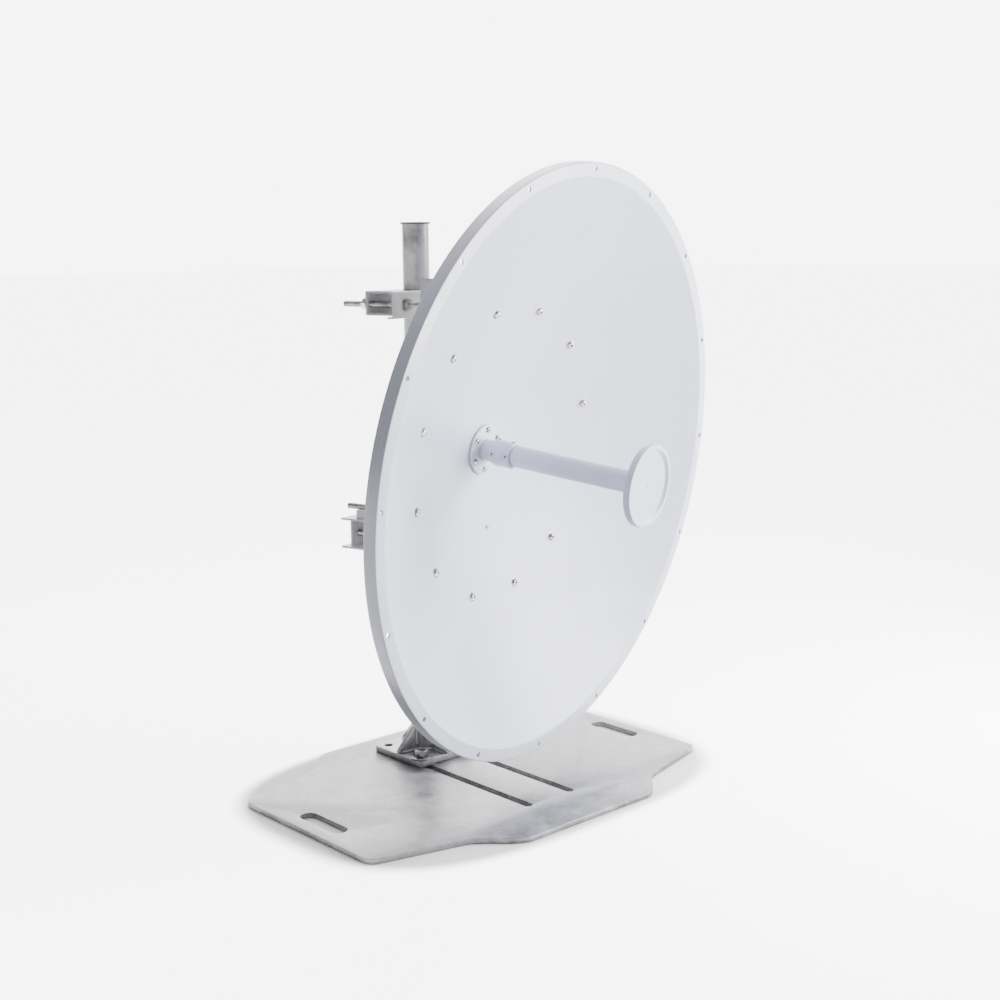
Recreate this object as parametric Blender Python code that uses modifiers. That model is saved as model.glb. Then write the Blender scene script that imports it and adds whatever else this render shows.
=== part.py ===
# Microwave dish antenna on a short pole with a flat steel stand.
# Frame: metres, +Z up, origin at the middle of the stand plate's underside,
# X along the stand plate's long way, -Y the side that the dish faces.
import math

import bmesh
import bpy
from mathutils import Matrix, Vector

# Driving dimensions
GAP = 0.0003                      # left between pieces that touch
OVER = 0.010                      # how far a cutter runs past what it cuts

PLATE_HALF_X = 0.340
PLATE_HALF_Y = 0.250
PLATE_THICK = 0.008
PLATE_FLAT_HALF = 0.118           # half length of the straight front and back edges
WING_ROOT = (0.198, 0.1935)       # where the tapered wing meets the S-shaped shoulder
WING_SLOPE = 0.26
CORNER_CUT = 0.016
SHOULDER_HANDLE = 0.030
HAND_HOLE_X = 0.305
HAND_HOLE_WIDE = 0.026
HAND_HOLE_LONG = 0.100
SLOT_X = 0.0435                   # the two long slots and the foot's bolts
SLOT_WIDE = 0.014
SLOT_FRONT_Y = -0.163
SLOT_BACK_Y = 0.195

POLE_Y = 0.140
POLE_R = 0.0212
POLE_WALL = 0.0026
POLE_TOP = 0.873
CAP_R = 0.0240
CAP_THICK = 0.003
CAP_SPIGOT = 0.015
CAP_EDGE = 0.0015

FOOT_HALF = 0.060
FOOT_THICK = 0.010
FOOT_BEVEL = 0.004
FOOT_LOW = PLATE_THICK + GAP
FOOT_TOP = FOOT_LOW + FOOT_THICK
BOLT_HOLE_R = 0.007
GUSSET_THICK = 0.008
GUSSET_HIGH = 0.038
GUSSET_INSET = 0.002
GUSSET_TOE = 0.003
GUSSET_HEAD = 0.004
M12_R = 0.006
M12_FLATS = 0.019
M12_NUT = 0.010
M12_WASHER_R = 0.0185
M12_WASHER_THICK = 0.003
SHANK_LOW = 0.001                 # the foot's bolts end inside the long slots
SHANK_TOP_DOWN = 0.002            # and stop this far below the tops of their nuts
SINK = 0.0005                     # how far fused pieces run into each other

AZIMUTH = math.radians(14.0)      # the dish is turned this far on the pole
TILT = math.radians(6.9)          # and looks this far down

ROD_X = 0.060
ROD_R = 0.005
M10_FLATS = 0.017
M10_NUT = 0.0084
WASHER_R = 0.0105
WASHER_THICK = 0.002
ROD_HOLE_R = 0.0055
UPPER_ROD_BACK_Y = 0.098
LOWER_ROD_BACK_Y = 0.101
TIE_HEAD = 0.004                  # the ties have a low domed head behind the web

UPPER_JAW_HALF = 0.070
LOWER_JAW_HALF = 0.078
JAW_STEEL = 0.0035
JAW_OPEN_Y = -0.004               # the open edges of the rear jaws
NOTCH_REACH = (POLE_R + GAP) * math.sqrt(2.0)
FRONT_HALF = 0.091
FRONT_INNER_Y = -0.0218
FRONT_STEEL = 0.003
FRONT_FACE_Y = FRONT_INNER_Y - FRONT_STEEL
FRONT_LIP_Y = -0.0123
FRONT_NOTCH_R = POLE_R + GAP

UPPER_ROD_Z = 0.749
UPPER_REAR = (0.7315, 0.770)
UPPER_REAR_WEB_Y = 0.048
UPPER_FRONT = (0.728, 0.770)
UPPER_ROD_FRONT_Y = -0.121

LOWER_REAR = (0.3555, 0.405)
LOWER_REAR_BACK_Y = 0.103
LOWER_WEB_Y = 0.0835
LOWER_FRONT = (0.355, 0.438)
LOWER_ROD_Z = 0.4226
LOWER_TIE_Z = 0.380
LOWER_ROD_FRONT_Y = -0.040
LUG_HALF_X = 0.012
LUG_Y = (0.0585, 0.0755)
LUG_TOP = 0.419

PIVOT_Y = -0.055
PIVOT_Z = 0.381
EAR_X = (0.0795, 0.0845)
EAR_FRONT_Y = -0.072
EAR_HALF_Z = 0.020
PIVOT_HOLE_R = M12_R + 2 * GAP
PIVOT_SHANK_X = (0.0690, 0.0990)
PIVOT_HEAD = 0.0070
PIVOT_NUT = 0.0085
HEAD_GAP = 0.0005

NUT_GAP = 0.0020                  # lets the web lean past the nuts' domed faces
DOME_LONG = 0.004
DOME_TIP_R = 0.008

RIM_R = 0.457
RIM_Y = -0.2777                   # the rim's centre, in the turned mount
RIM_Z = 0.5045
SKIRT_DEEP = 0.020
RIM_EDGE = 0.002
DISH_SHEET = 0.0025
BOWL_R = 0.436
FOCUS = 0.3094
BOWL_DEEP = BOWL_R ** 2 / (4.0 * FOCUS)
BOWL_HOLE_R = 0.030
RIM_HOLES = 16
RIM_HOLE_CIRCLE = 0.4475
RIM_HOLE_R = 0.004
TURNED_STEPS = 64
BOWL_STEPS = 13

FEED_FLANGE_R = 0.040
FEED_FLANGE_THICK = 0.004
FEED_FLANGE_BACK = BOWL_DEEP - FEED_FLANGE_R ** 2 / (4.0 * FOCUS) - GAP
FEED_FLANGE_FRONT = FEED_FLANGE_BACK - FEED_FLANGE_THICK
TURNED_EDGE = 0.001
FEED_TUBE_R = 0.0170
FEED_TUBE_WALL = 0.0025
COLLAR_R = 0.0205
COLLAR_START = 0.020
COLLAR_LONG = 0.035
SUB_R = 0.062
SUB_FRONT = 0.1459                # the small reflector's front, ahead of the rim plane
SUB_THICK = 0.011
SUB_RECESS = 0.004
SUB_RIM_WIDE = 0.0075
SUB_RIM_SLOPE = 0.0025
SUB_EDGE = 0.0015

RING_IN = 0.2164
RING_OUT = 0.2404
RING_STEEL = 0.003
RING_BACK = 0.160                 # depths are measured back from the rim plane
RING_LIP_R = 0.205
RING_SEAT_GAP = 0.0004

BRACKET_X = (0.0865, 0.0905)
BRACKET_TOP = 0.262
BRACKET_LOW = -0.235
BRACKET_BACK = 0.2317
BRACKET_WEB = (0.2275, 0.2315)
BRACKET_WEB_LOW = -0.075
WEB_INSET = 0.002
BRACKET_PIVOT_BACK = 0.220
BRACKET_PIVOT_Z = (-0.170, -0.088)
BRACKET_TOE_BACK = 0.175
TAB_OUT_X = 0.116
TAB_Z = (0.165, 0.205)
TAB_STEEL = 0.004
ROD_SLOT_HALF_X = 0.0065
ROD_SLOT_Z = (-0.011, 0.012)      # below and above the rod at rest, for the tilt
WINDOW_R = 0.040
WINDOW_Z = 0.020

HUB_R = 0.045
HUB_FRONT = BOWL_DEEP - BOWL_HOLE_R ** 2 / (4.0 * FOCUS) + DISH_SHEET + GAP
HUB_STEP = 0.166
HUB_NECK_R = 0.028
HUB_BACK = 0.195
HUB_SLOPE = 0.004
GUIDE_HALF_X = 0.0190
GUIDE_DEPTH = (0.1953, 0.2150)
GUIDE_TOP = 0.024
GUIDE_LOW = -0.052
GUIDE_FLANGE = 0.006
GUIDE_WALL = 0.002
GUIDE_RIM_X = 0.012
GUIDE_RIM_Y = 0.010

parts = None
cutters = None


# Scene helpers
def clear_scene():
    for item in list(bpy.data.objects):
        bpy.data.objects.remove(item, do_unlink=True)


def make_collection(name):
    made = bpy.data.collections.new(name)
    bpy.context.scene.collection.children.link(made)
    return made


def make_material(name, colour, roughness, metallic):
    made = bpy.data.materials.new(name)
    made.use_nodes = True
    shader = made.node_tree.nodes["Principled BSDF"]
    shader.inputs["Base Color"].default_value = (*colour, 1.0)
    shader.inputs["Roughness"].default_value = roughness
    shader.inputs["Metallic"].default_value = metallic
    return made


def make_empty(name, parent, place, turn_x=0.0, turn_z=0.0):
    made = bpy.data.objects.new(name, None)
    parts.objects.link(made)
    made.parent = parent
    made.location = place
    made.rotation_euler = (turn_x, 0.0, turn_z)
    return made


def add_object(name, data, parent, material):
    made = bpy.data.objects.new(name, data)
    parts.objects.link(made)
    made.parent = parent
    made.data.materials.append(material)
    return made


def mesh_from(name, bm):
    data = bpy.data.meshes.new(name)
    bm.to_mesh(data)
    bm.free()
    return data


def shade_round(data):
    data.shade_smooth()
    data.set_sharp_from_angle(angle=math.radians(35.0))


# Shape helpers, all in the parent's own axes
def box_mesh(name, low, high):
    low, high = Vector(low), Vector(high)
    size = high - low
    bm = bmesh.new()
    place = Matrix.Translation((low + high) / 2.0) @ Matrix.Diagonal((*size, 1.0))
    bmesh.ops.create_cube(bm, size=1.0, matrix=place)
    return mesh_from(name, bm)


def rod_mesh(name, start, end, radius, sides=16, radius_end=None):
    start, end = Vector(start), Vector(end)
    along = end - start
    turn = along.to_track_quat("Z", "Y").to_matrix().to_4x4()
    place = Matrix.Translation((start + end) / 2.0) @ turn
    bm = bmesh.new()
    bmesh.ops.create_cone(
        bm, cap_ends=True, segments=sides, radius1=radius,
        radius2=radius if radius_end is None else radius_end,
        depth=along.length, matrix=place)
    data = mesh_from(name, bm)
    shade_round(data)
    return data


def hex_mesh(name, start, end, flats):
    return rod_mesh(name, start, end, flats / math.sqrt(3.0), sides=6)


def slab_curve(name, loops, thick):
    data = bpy.data.curves.new(name, "CURVE")
    data.dimensions = "2D"
    data.fill_mode = "BOTH"
    data.extrude = thick / 2.0
    for loop in loops:
        spline = data.splines.new("POLY")
        spline.points.add(len(loop) - 1)
        for point, (x, y) in zip(spline.points, loop):
            point.co = (x, y, 0.0, 1.0)
        spline.use_cyclic_u = True
    return data


def slab_as_mesh(name, loops, thick, parent, material, place, turn=(0.0, 0.0, 0.0)):
    curve = slab_curve(name + "_outline", loops, thick)
    guide = bpy.data.objects.new(name + "_outline", curve)
    bpy.context.scene.collection.objects.link(guide)
    bpy.context.view_layer.update()
    seen = guide.evaluated_get(bpy.context.evaluated_depsgraph_get())
    data = bpy.data.meshes.new_from_object(seen)
    bpy.data.objects.remove(guide, do_unlink=True)
    bm = bmesh.new()
    bm.from_mesh(data)
    bmesh.ops.remove_doubles(bm, verts=bm.verts, dist=0.00001)
    bm.to_mesh(data)
    bm.free()
    data.materials.clear()
    made = add_object(name, data, parent, material)
    made.location = place
    made.rotation_euler = turn
    return made


def turned(name, profile, parent, material, steps=TURNED_STEPS, faces_front=True, place=(0, 0, 0)):
    """A closed outline of (radius, height) points, turned about the object's Z."""
    data = bpy.data.meshes.new(name)
    count = len(profile)
    data.from_pydata([(r, 0.0, z) for r, z in profile],
                     [(i, (i + 1) % count) for i in range(count)], [])
    made = add_object(name, data, parent, material)
    made.location = place
    if faces_front:
        made.rotation_euler = (math.pi / 2.0, 0.0, 0.0)
    spin = made.modifiers.new("turn", "SCREW")
    spin.steps = steps
    spin.render_steps = steps
    spin.use_merge_vertices = True
    spin.merge_threshold = 0.00001
    spin.use_smooth_shade = True
    return made


def open_turned(name, profile, parent, material, **how):
    """As turned, for an outline whose two ends lie on the axis."""
    made = turned(name, profile, parent, material, **how)
    count = len(profile)
    points = [tuple(vertex.co) for vertex in made.data.vertices]
    made.data.clear_geometry()
    made.data.from_pydata(points, [(i, i + 1) for i in range(count - 1)], [])
    return made


def combine(target, data, operation):
    tool = bpy.data.objects.new(target.name + "_" + data.name, data)
    cutters.objects.link(tool)
    tool.parent = target.parent
    tool.location = target.location
    tool.rotation_euler = target.rotation_euler
    tool.hide_render = True
    tool.display_type = "WIRE"
    step = target.modifiers.new(data.name, "BOOLEAN")
    step.operation = operation
    step.solver = "EXACT"
    step.object = tool
    return target


def cut(target, data):
    return combine(target, data, "DIFFERENCE")


def fuse(target, data):
    return combine(target, data, "UNION")


def ring_points(radius, count, start=0.0, centre=(0.0, 0.0)):
    turns = [start + 2.0 * math.pi * i / count for i in range(count)]
    return [(centre[0] + radius * math.cos(a), centre[1] + radius * math.sin(a)) for a in turns]


def slot_points(centre_x, low_y, high_y, width, arc_steps=8):
    radius = width / 2.0
    loop = []
    for end_y, first in ((high_y - radius, 0.0), (low_y + radius, math.pi)):
        for i in range(arc_steps + 1):
            turn = first + math.pi * i / arc_steps
            loop.append((centre_x + radius * math.cos(turn), end_y + radius * math.sin(turn)))
    return loop


def bezier(points, steps):
    p0, p1, p2, p3 = (Vector(p) for p in points)
    found = []
    for i in range(steps + 1):
        t = i / steps
        spot = (1 - t) ** 3 * p0 + 3 * (1 - t) ** 2 * t * p1 + 3 * (1 - t) * t * t * p2 + t ** 3 * p3
        found.append(tuple(spot))
    return found


# Stand
def plate_quarter():
    """The stand plate's outline in the +X +Y quarter, from the end edge to the long edge."""
    corner = Vector((PLATE_HALF_X, WING_ROOT[1] - (PLATE_HALF_X - WING_ROOT[0]) * WING_SLOPE))
    along_wing = Vector((-1.0, WING_SLOPE)).normalized()
    start = corner - Vector((0.0, CORNER_CUT))
    finish = corner + along_wing * CORNER_CUT
    rounded = bezier([start, start.lerp(corner, 0.6), finish.lerp(corner, 0.6), finish], 4)
    root = Vector(WING_ROOT)
    flat_end = Vector((PLATE_FLAT_HALF, PLATE_HALF_Y))
    shoulder = bezier([root, root + along_wing * SHOULDER_HANDLE,
                       flat_end + Vector((SHOULDER_HANDLE, 0.0)), flat_end], 8)
    return rounded + shoulder


def plate_outline():
    quarter = plate_quarter()
    top_right = quarter
    top_left = [(-x, y) for x, y in reversed(quarter)]
    low_left = [(-x, -y) for x, y in quarter]
    low_right = [(x, -y) for x, y in reversed(quarter)]
    return top_right + top_left + low_left + low_right


def base_plate(steel):
    loops = [plate_outline()]
    for side in (-1, 1):
        loops.append(slot_points(side * SLOT_X, SLOT_FRONT_Y, SLOT_BACK_Y, SLOT_WIDE))
        loops.append(slot_points(side * HAND_HOLE_X, -HAND_HOLE_LONG / 2.0,
                                 HAND_HOLE_LONG / 2.0, HAND_HOLE_WIDE))
    slab_as_mesh("base_plate", loops, PLATE_THICK, None, steel, (0.0, 0.0, PLATE_THICK / 2.0))


def foot_flange(steel):
    a, b = FOOT_HALF, FOOT_HALF - FOOT_BEVEL
    square = [(a, b), (b, a), (-b, a), (-a, b), (-a, -b), (-b, -a), (b, -a), (a, -b)]
    loops = [square]
    for x in (-SLOT_X, SLOT_X):
        for y in (-SLOT_X, SLOT_X):
            loops.append(ring_points(BOLT_HOLE_R, 16, centre=(x, y)))
    slab_as_mesh("foot_flange", loops, FOOT_THICK, None, steel,
                 (0.0, POLE_Y, FOOT_LOW + FOOT_THICK / 2.0))


def foot_gussets(steel):
    inner = POLE_R + GAP
    outer = FOOT_HALF - GUSSET_INSET
    shape = [(inner, 0.0), (outer, 0.0), (outer, GUSSET_TOE), (inner + GUSSET_HEAD, GUSSET_HIGH),
             (inner, GUSSET_HIGH)]
    for name, turn in (("right", 0.0), ("back", 0.5), ("left", 1.0), ("front", 1.5)):
        slab_as_mesh("gusset_" + name, [shape], GUSSET_THICK, None, steel,
                     (0.0, POLE_Y, FOOT_TOP + GAP), (math.pi / 2.0, 0.0, turn * math.pi))


def foot_bolts(zinc):
    """Three of the foot's four bolts; the back left hole is empty."""
    places = {"front_left": (-SLOT_X, -SLOT_X), "front_right": (SLOT_X, -SLOT_X),
              "back_right": (SLOT_X, SLOT_X)}
    washer_low = FOOT_TOP + GAP
    washer_top = washer_low + M12_WASHER_THICK
    nut_top = washer_top + M12_NUT
    for name, (x, dy) in places.items():
        y = POLE_Y + dy
        data = rod_mesh("shank", (x, y, SHANK_LOW), (x, y, nut_top - SHANK_TOP_DOWN), M12_R)
        bolt = add_object("foot_bolt_" + name, data, None, zinc)
        fuse(bolt, rod_mesh("washer", (x, y, washer_low), (x, y, washer_top), M12_WASHER_R,
                            sides=24))
        fuse(bolt, hex_mesh("nut", (x, y, washer_top - SINK), (x, y, nut_top), M12_FLATS))


def pole(galvanised):
    low = FOOT_TOP + GAP
    profile = [(POLE_R - POLE_WALL, POLE_TOP), (POLE_R, POLE_TOP), (POLE_R, low),
               (POLE_R - POLE_WALL, low)]
    turned("pole", profile, None, galvanised, steps=32, faces_front=False, place=(0.0, POLE_Y, 0.0))


def pole_cap(plastic):
    low = POLE_TOP + GAP
    bore = POLE_R - POLE_WALL - GAP
    profile = [(0.0, low + CAP_THICK), (CAP_R - CAP_EDGE, low + CAP_THICK), (CAP_R, low + CAP_THICK / 2),
               (CAP_R, low), (bore, low), (bore, low - CAP_SPIGOT), (0.0, low - CAP_SPIGOT)]
    open_turned("pole_cap", profile, None, plastic, steps=32, faces_front=False,
                place=(0.0, POLE_Y, 0.0))


# Pole clamps, in the mount's own axes: its origin is on the pole, -Y points at the dish
def wedge_mesh(name, low_z, high_z):
    """The 90 degree notch that seats the pole in a rear jaw."""
    wide = NOTCH_REACH - JAW_OPEN_Y + OVER
    curve = [(-wide, JAW_OPEN_Y - OVER), (wide, JAW_OPEN_Y - OVER), (0.0, NOTCH_REACH)]
    bm = bmesh.new()
    bottom = [bm.verts.new((x, y, low_z - OVER)) for x, y in curve]
    face = bm.faces.new(bottom)
    grown = bmesh.ops.extrude_face_region(bm, geom=[face])
    lifted = [item for item in grown["geom"] if isinstance(item, bmesh.types.BMVert)]
    bmesh.ops.translate(bm, verts=lifted, vec=(0.0, 0.0, high_z - low_z + 2 * OVER))
    bmesh.ops.recalc_face_normals(bm, faces=bm.faces)
    return mesh_from(name, bm)


def cross_hole(name, x, z, low_y, high_y, radius=ROD_HOLE_R):
    return rod_mesh(name, (x, low_y, z), (x, high_y, z), radius, sides=12)


def upper_rear_jaw(mount, paint):
    low, high = UPPER_REAR
    wide = UPPER_JAW_HALF + OVER
    data = box_mesh("body", (-UPPER_JAW_HALF, JAW_OPEN_Y, low), (UPPER_JAW_HALF, UPPER_REAR_WEB_Y, high))
    jaw = add_object("upper_rear_jaw", data, mount, paint)
    cut(jaw, box_mesh("hollow", (-wide, JAW_OPEN_Y - OVER, low + JAW_STEEL),
                      (wide, UPPER_REAR_WEB_Y - JAW_STEEL, high - JAW_STEEL)))
    cut(jaw, wedge_mesh("notch", low, high))
    for side in (-1, 1):
        cut(jaw, cross_hole("rod_hole", side * ROD_X, UPPER_ROD_Z,
                            UPPER_REAR_WEB_Y - JAW_STEEL - OVER, UPPER_REAR_WEB_Y + OVER))


def lower_rear_jaw(mount, paint):
    low, high = LOWER_REAR
    wide = LOWER_JAW_HALF + OVER
    data = box_mesh("body", (-LOWER_JAW_HALF, JAW_OPEN_Y, low),
                    (LOWER_JAW_HALF, LOWER_REAR_BACK_Y, high))
    jaw = add_object("lower_rear_jaw", data, mount, paint)
    cut(jaw, box_mesh("front_hollow", (-wide, JAW_OPEN_Y - OVER, low + JAW_STEEL),
                      (wide, LOWER_WEB_Y - JAW_STEEL, high - JAW_STEEL)))
    cut(jaw, box_mesh("back_hollow", (-wide, LOWER_WEB_Y, low + JAW_STEEL),
                      (wide, LOWER_REAR_BACK_Y + OVER, high - JAW_STEEL)))
    cut(jaw, wedge_mesh("notch", low, high))
    for side in (-1, 1):
        cut(jaw, cross_hole("rod_hole", side * ROD_X, LOWER_TIE_Z,
                            LOWER_WEB_Y - JAW_STEEL - OVER, LOWER_WEB_Y + OVER))


def front_jaw(name, mount, paint, span, holes):
    low, high = span
    data = box_mesh("body", (-FRONT_HALF, FRONT_FACE_Y, low), (FRONT_HALF, FRONT_LIP_Y, high))
    jaw = add_object(name, data, mount, paint)
    cut(jaw, box_mesh("hollow", (-FRONT_HALF - OVER, FRONT_INNER_Y, low + FRONT_STEEL),
                      (FRONT_HALF + OVER, FRONT_LIP_Y + OVER, high - FRONT_STEEL)))
    cut(jaw, rod_mesh("notch", (0.0, 0.0, low - OVER), (0.0, 0.0, high + OVER), FRONT_NOTCH_R, sides=32))
    for x, z in holes:
        cut(jaw, cross_hole("rod_hole", x, z, FRONT_FACE_Y - OVER, FRONT_INNER_Y + OVER))
    return jaw


def lower_front_jaw(mount, paint):
    holes = [(side * ROD_X, z) for side in (-1, 1) for z in (LOWER_ROD_Z, LOWER_TIE_Z)]
    jaw = front_jaw("lower_front_jaw", mount, paint, LOWER_FRONT, holes)
    for side in (-1, 1):
        low_x, high_x = sorted((side * EAR_X[0], side * EAR_X[1]))
        fuse(jaw, box_mesh("ear", (low_x, EAR_FRONT_Y, PIVOT_Z - EAR_HALF_Z),
                           (high_x, FRONT_FACE_Y + SINK, PIVOT_Z + EAR_HALF_Z)))
        cut(jaw, rod_mesh("pivot_hole", (low_x - OVER, PIVOT_Y, PIVOT_Z),
                          (high_x + OVER, PIVOT_Y, PIVOT_Z), PIVOT_HOLE_R))


def lower_lugs(mount, paint):
    for name, side in (("left", -1), ("right", 1)):
        x = side * ROD_X
        data = box_mesh("block", (x - LUG_HALF_X, LUG_Y[0], LOWER_REAR[1] + GAP),
                        (x + LUG_HALF_X, LUG_Y[1], LUG_TOP))
        lug = add_object("lower_lug_" + name, data, mount, paint)
        cut(lug, cross_hole("rod_hole", x, LOWER_ROD_Z, LUG_Y[0] - OVER, LUG_Y[1] + OVER,
                            ROD_R + GAP))


def clamp_rod(name, mount, zinc, x, z, back_y, front_y):
    data = rod_mesh("rod", (x, back_y, z), (x, front_y, z), ROD_R)
    return add_object(name, data, mount, zinc)


def run_on(rod, x, z, seat, way):
    """Fuses a washer and a nut to the rod, from the seat outward."""
    flat = seat + way * WASHER_THICK
    fuse(rod, rod_mesh("washer", (x, seat, z), (x, flat, z), WASHER_R, sides=16))
    fuse(rod, hex_mesh("nut", (x, flat - way * SINK, z), (x, flat + way * M10_NUT, z), M10_FLATS))


def clamp_rods(mount, zinc):
    """Threaded rods and ties, each fused with what is run onto it."""
    front_seat = FRONT_FACE_Y - GAP
    tie_seat = LOWER_WEB_Y + GAP
    for name, side in (("left", -1), ("right", 1)):
        x = side * ROD_X
        upper = clamp_rod("upper_rod_" + name, mount, zinc, x, UPPER_ROD_Z, UPPER_ROD_BACK_Y,
                          UPPER_ROD_FRONT_Y)
        run_on(upper, x, UPPER_ROD_Z, UPPER_REAR_WEB_Y + GAP, 1)
        run_on(upper, x, UPPER_ROD_Z, front_seat, -1)
        lower = clamp_rod("lower_rod_" + name, mount, zinc, x, LOWER_ROD_Z, LOWER_ROD_BACK_Y,
                          LOWER_ROD_FRONT_Y)
        run_on(lower, x, LOWER_ROD_Z, front_seat, -1)
        tie = clamp_rod("lower_tie_" + name, mount, zinc, x, LOWER_TIE_Z, tie_seat + SINK,
                        LOWER_ROD_FRONT_Y)
        fuse(tie, rod_mesh("head", (x, tie_seat, LOWER_TIE_Z), (x, tie_seat + TIE_HEAD, LOWER_TIE_Z),
                           WASHER_R, sides=16, radius_end=DOME_TIP_R))
        run_on(tie, x, LOWER_TIE_Z, front_seat, -1)


def pivot_bolts(mount, zinc):
    for name, side in (("left", -1), ("right", 1)):
        inner, outer = (side * reach for reach in PIVOT_SHANK_X)
        head = side * (BRACKET_X[1] + HEAD_GAP)
        nut = side * (EAR_X[0] - GAP)
        data = rod_mesh("shank", (inner, PIVOT_Y, PIVOT_Z), (outer, PIVOT_Y, PIVOT_Z), M12_R)
        bolt = add_object("pivot_bolt_" + name, data, mount, zinc)
        fuse(bolt, hex_mesh("head", (head, PIVOT_Y, PIVOT_Z), (head + side * PIVOT_HEAD, PIVOT_Y, PIVOT_Z),
                            M12_FLATS))
        fuse(bolt, hex_mesh("nut", (nut, PIVOT_Y, PIVOT_Z), (nut - side * PIVOT_NUT, PIVOT_Y, PIVOT_Z),
                            M12_FLATS))


# The elevation nuts hold the bracket's web between them on the upper rods
def web_forward(depth):
    """How far ahead of the pole the tilted plane at this depth meets the upper rods."""
    rise = UPPER_ROD_Z - RIM_Z
    return -RIM_Y + (rise * math.sin(TILT) - depth) / math.cos(TILT)


def elevation_nuts(mount, zinc):
    spots = (("rear", web_forward(BRACKET_WEB[1]) - NUT_GAP, -1),
             ("front", web_forward(BRACKET_WEB[0]) + NUT_GAP, 1))
    reach = DOME_LONG + M10_NUT + OVER
    for side_name, side in (("left", -1), ("right", 1)):
        x = side * ROD_X
        for end_name, tip, way in spots:
            base = tip + way * DOME_LONG
            data = rod_mesh("dome", (x, -base, UPPER_ROD_Z), (x, -tip, UPPER_ROD_Z), WASHER_R,
                            sides=16, radius_end=DOME_TIP_R)
            nut = add_object("elevation_nut_" + end_name + "_" + side_name, data, mount, zinc)
            fuse(nut, hex_mesh("hex", (x, -(base - way * SINK), UPPER_ROD_Z),
                               (x, -(base + way * M10_NUT), UPPER_ROD_Z), M10_FLATS))
            cut(nut, cross_hole("bore", x, UPPER_ROD_Z, -tip - reach, -tip + reach, ROD_R + GAP))


# Antenna, in the dish's own axes: origin at the rim's centre, +Y is depth behind the rim
def bowl_depth(radius):
    return BOWL_DEEP - radius ** 2 / (4.0 * FOCUS)


def bowl_back(radius):
    """The point of the sheet's back straight behind the front surface at this radius."""
    slope = radius / (2.0 * FOCUS)
    length = math.hypot(1.0, slope)
    return (radius + DISH_SHEET * slope / length, -bowl_depth(radius) - DISH_SHEET / length)


def reflector(dish, paint):
    radii = [BOWL_HOLE_R + (BOWL_R - BOWL_HOLE_R) * i / BOWL_STEPS for i in range(BOWL_STEPS + 1)]
    front = [(r, -bowl_depth(r)) for r in radii]
    inner = RIM_R - DISH_SHEET
    soften = 0.3 * RIM_EDGE
    rim = [(RIM_R - RIM_EDGE, 0.0), (RIM_R - soften, -soften), (RIM_R, -RIM_EDGE),
           (RIM_R, -SKIRT_DEEP), (inner, -SKIRT_DEEP), (inner, -DISH_SHEET)]
    back = [bowl_back(r) for r in reversed(radii)]
    back[0] = (back[0][0], -DISH_SHEET)
    made = turned("reflector", front + rim + back, dish, paint)
    for i in range(RIM_HOLES):
        turn = 2.0 * math.pi * i / RIM_HOLES
        x, y = RIM_HOLE_CIRCLE * math.sin(turn), RIM_HOLE_CIRCLE * math.cos(turn)
        cut(made, rod_mesh("rim_hole", (x, y, -OVER), (x, y, OVER), RIM_HOLE_R, sides=10))


def feed_flange(dish, paint):
    front, back = -FEED_FLANGE_FRONT, -FEED_FLANGE_BACK
    profile = [(0.0, front), (FEED_FLANGE_R - TURNED_EDGE, front),
               (FEED_FLANGE_R, front - TURNED_EDGE), (FEED_FLANGE_R, back), (0.0, back)]
    open_turned("feed_flange", profile, dish, paint, steps=48)


def feed_tube(dish, paint):
    start = -FEED_FLANGE_FRONT + GAP
    finish = SUB_FRONT - SUB_THICK - GAP
    bore = FEED_TUBE_R - FEED_TUBE_WALL
    profile = [(bore, finish), (FEED_TUBE_R, finish), (FEED_TUBE_R, start), (bore, start)]
    turned("feed_tube", profile, dish, paint, steps=32)


def feed_collar(dish, paint):
    start = -FEED_FLANGE_FRONT + COLLAR_START
    finish = start + COLLAR_LONG
    bore = FEED_TUBE_R + GAP
    profile = [(bore, finish), (COLLAR_R - TURNED_EDGE, finish), (COLLAR_R, finish - TURNED_EDGE),
               (COLLAR_R, start + TURNED_EDGE), (COLLAR_R - TURNED_EDGE, start), (bore, start)]
    turned("feed_collar", profile, dish, paint, steps=32)


def sub_reflector(dish, paint):
    back = SUB_FRONT - SUB_THICK
    floor = SUB_FRONT - SUB_RECESS
    lip = SUB_R - SUB_RIM_WIDE
    profile = [(0.0, floor), (lip - SUB_RIM_SLOPE, floor), (lip, SUB_FRONT),
               (SUB_R - SUB_EDGE, SUB_FRONT), (SUB_R, SUB_FRONT - SUB_EDGE), (SUB_R, back + SUB_EDGE),
               (SUB_R - SUB_EDGE, back), (0.0, back)]
    open_turned("sub_reflector", profile, dish, paint, steps=48)


def back_ring(dish, paint):
    def seat(radius):
        slope = radius / (2.0 * FOCUS)
        return -bowl_depth(radius) - DISH_SHEET * math.hypot(1.0, slope) - RING_SEAT_GAP

    lip = RING_BACK - RING_STEEL
    wall = RING_OUT - RING_STEEL
    profile = [(RING_IN, seat(RING_IN)), (RING_OUT, seat(RING_OUT)), (RING_OUT, -RING_BACK),
               (RING_LIP_R, -RING_BACK), (RING_LIP_R, -lip), (wall, -lip),
               (wall, seat(wall) - RING_STEEL), (RING_IN, seat(RING_IN) - RING_STEEL)]
    turned("back_ring", profile, dish, paint)


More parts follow.
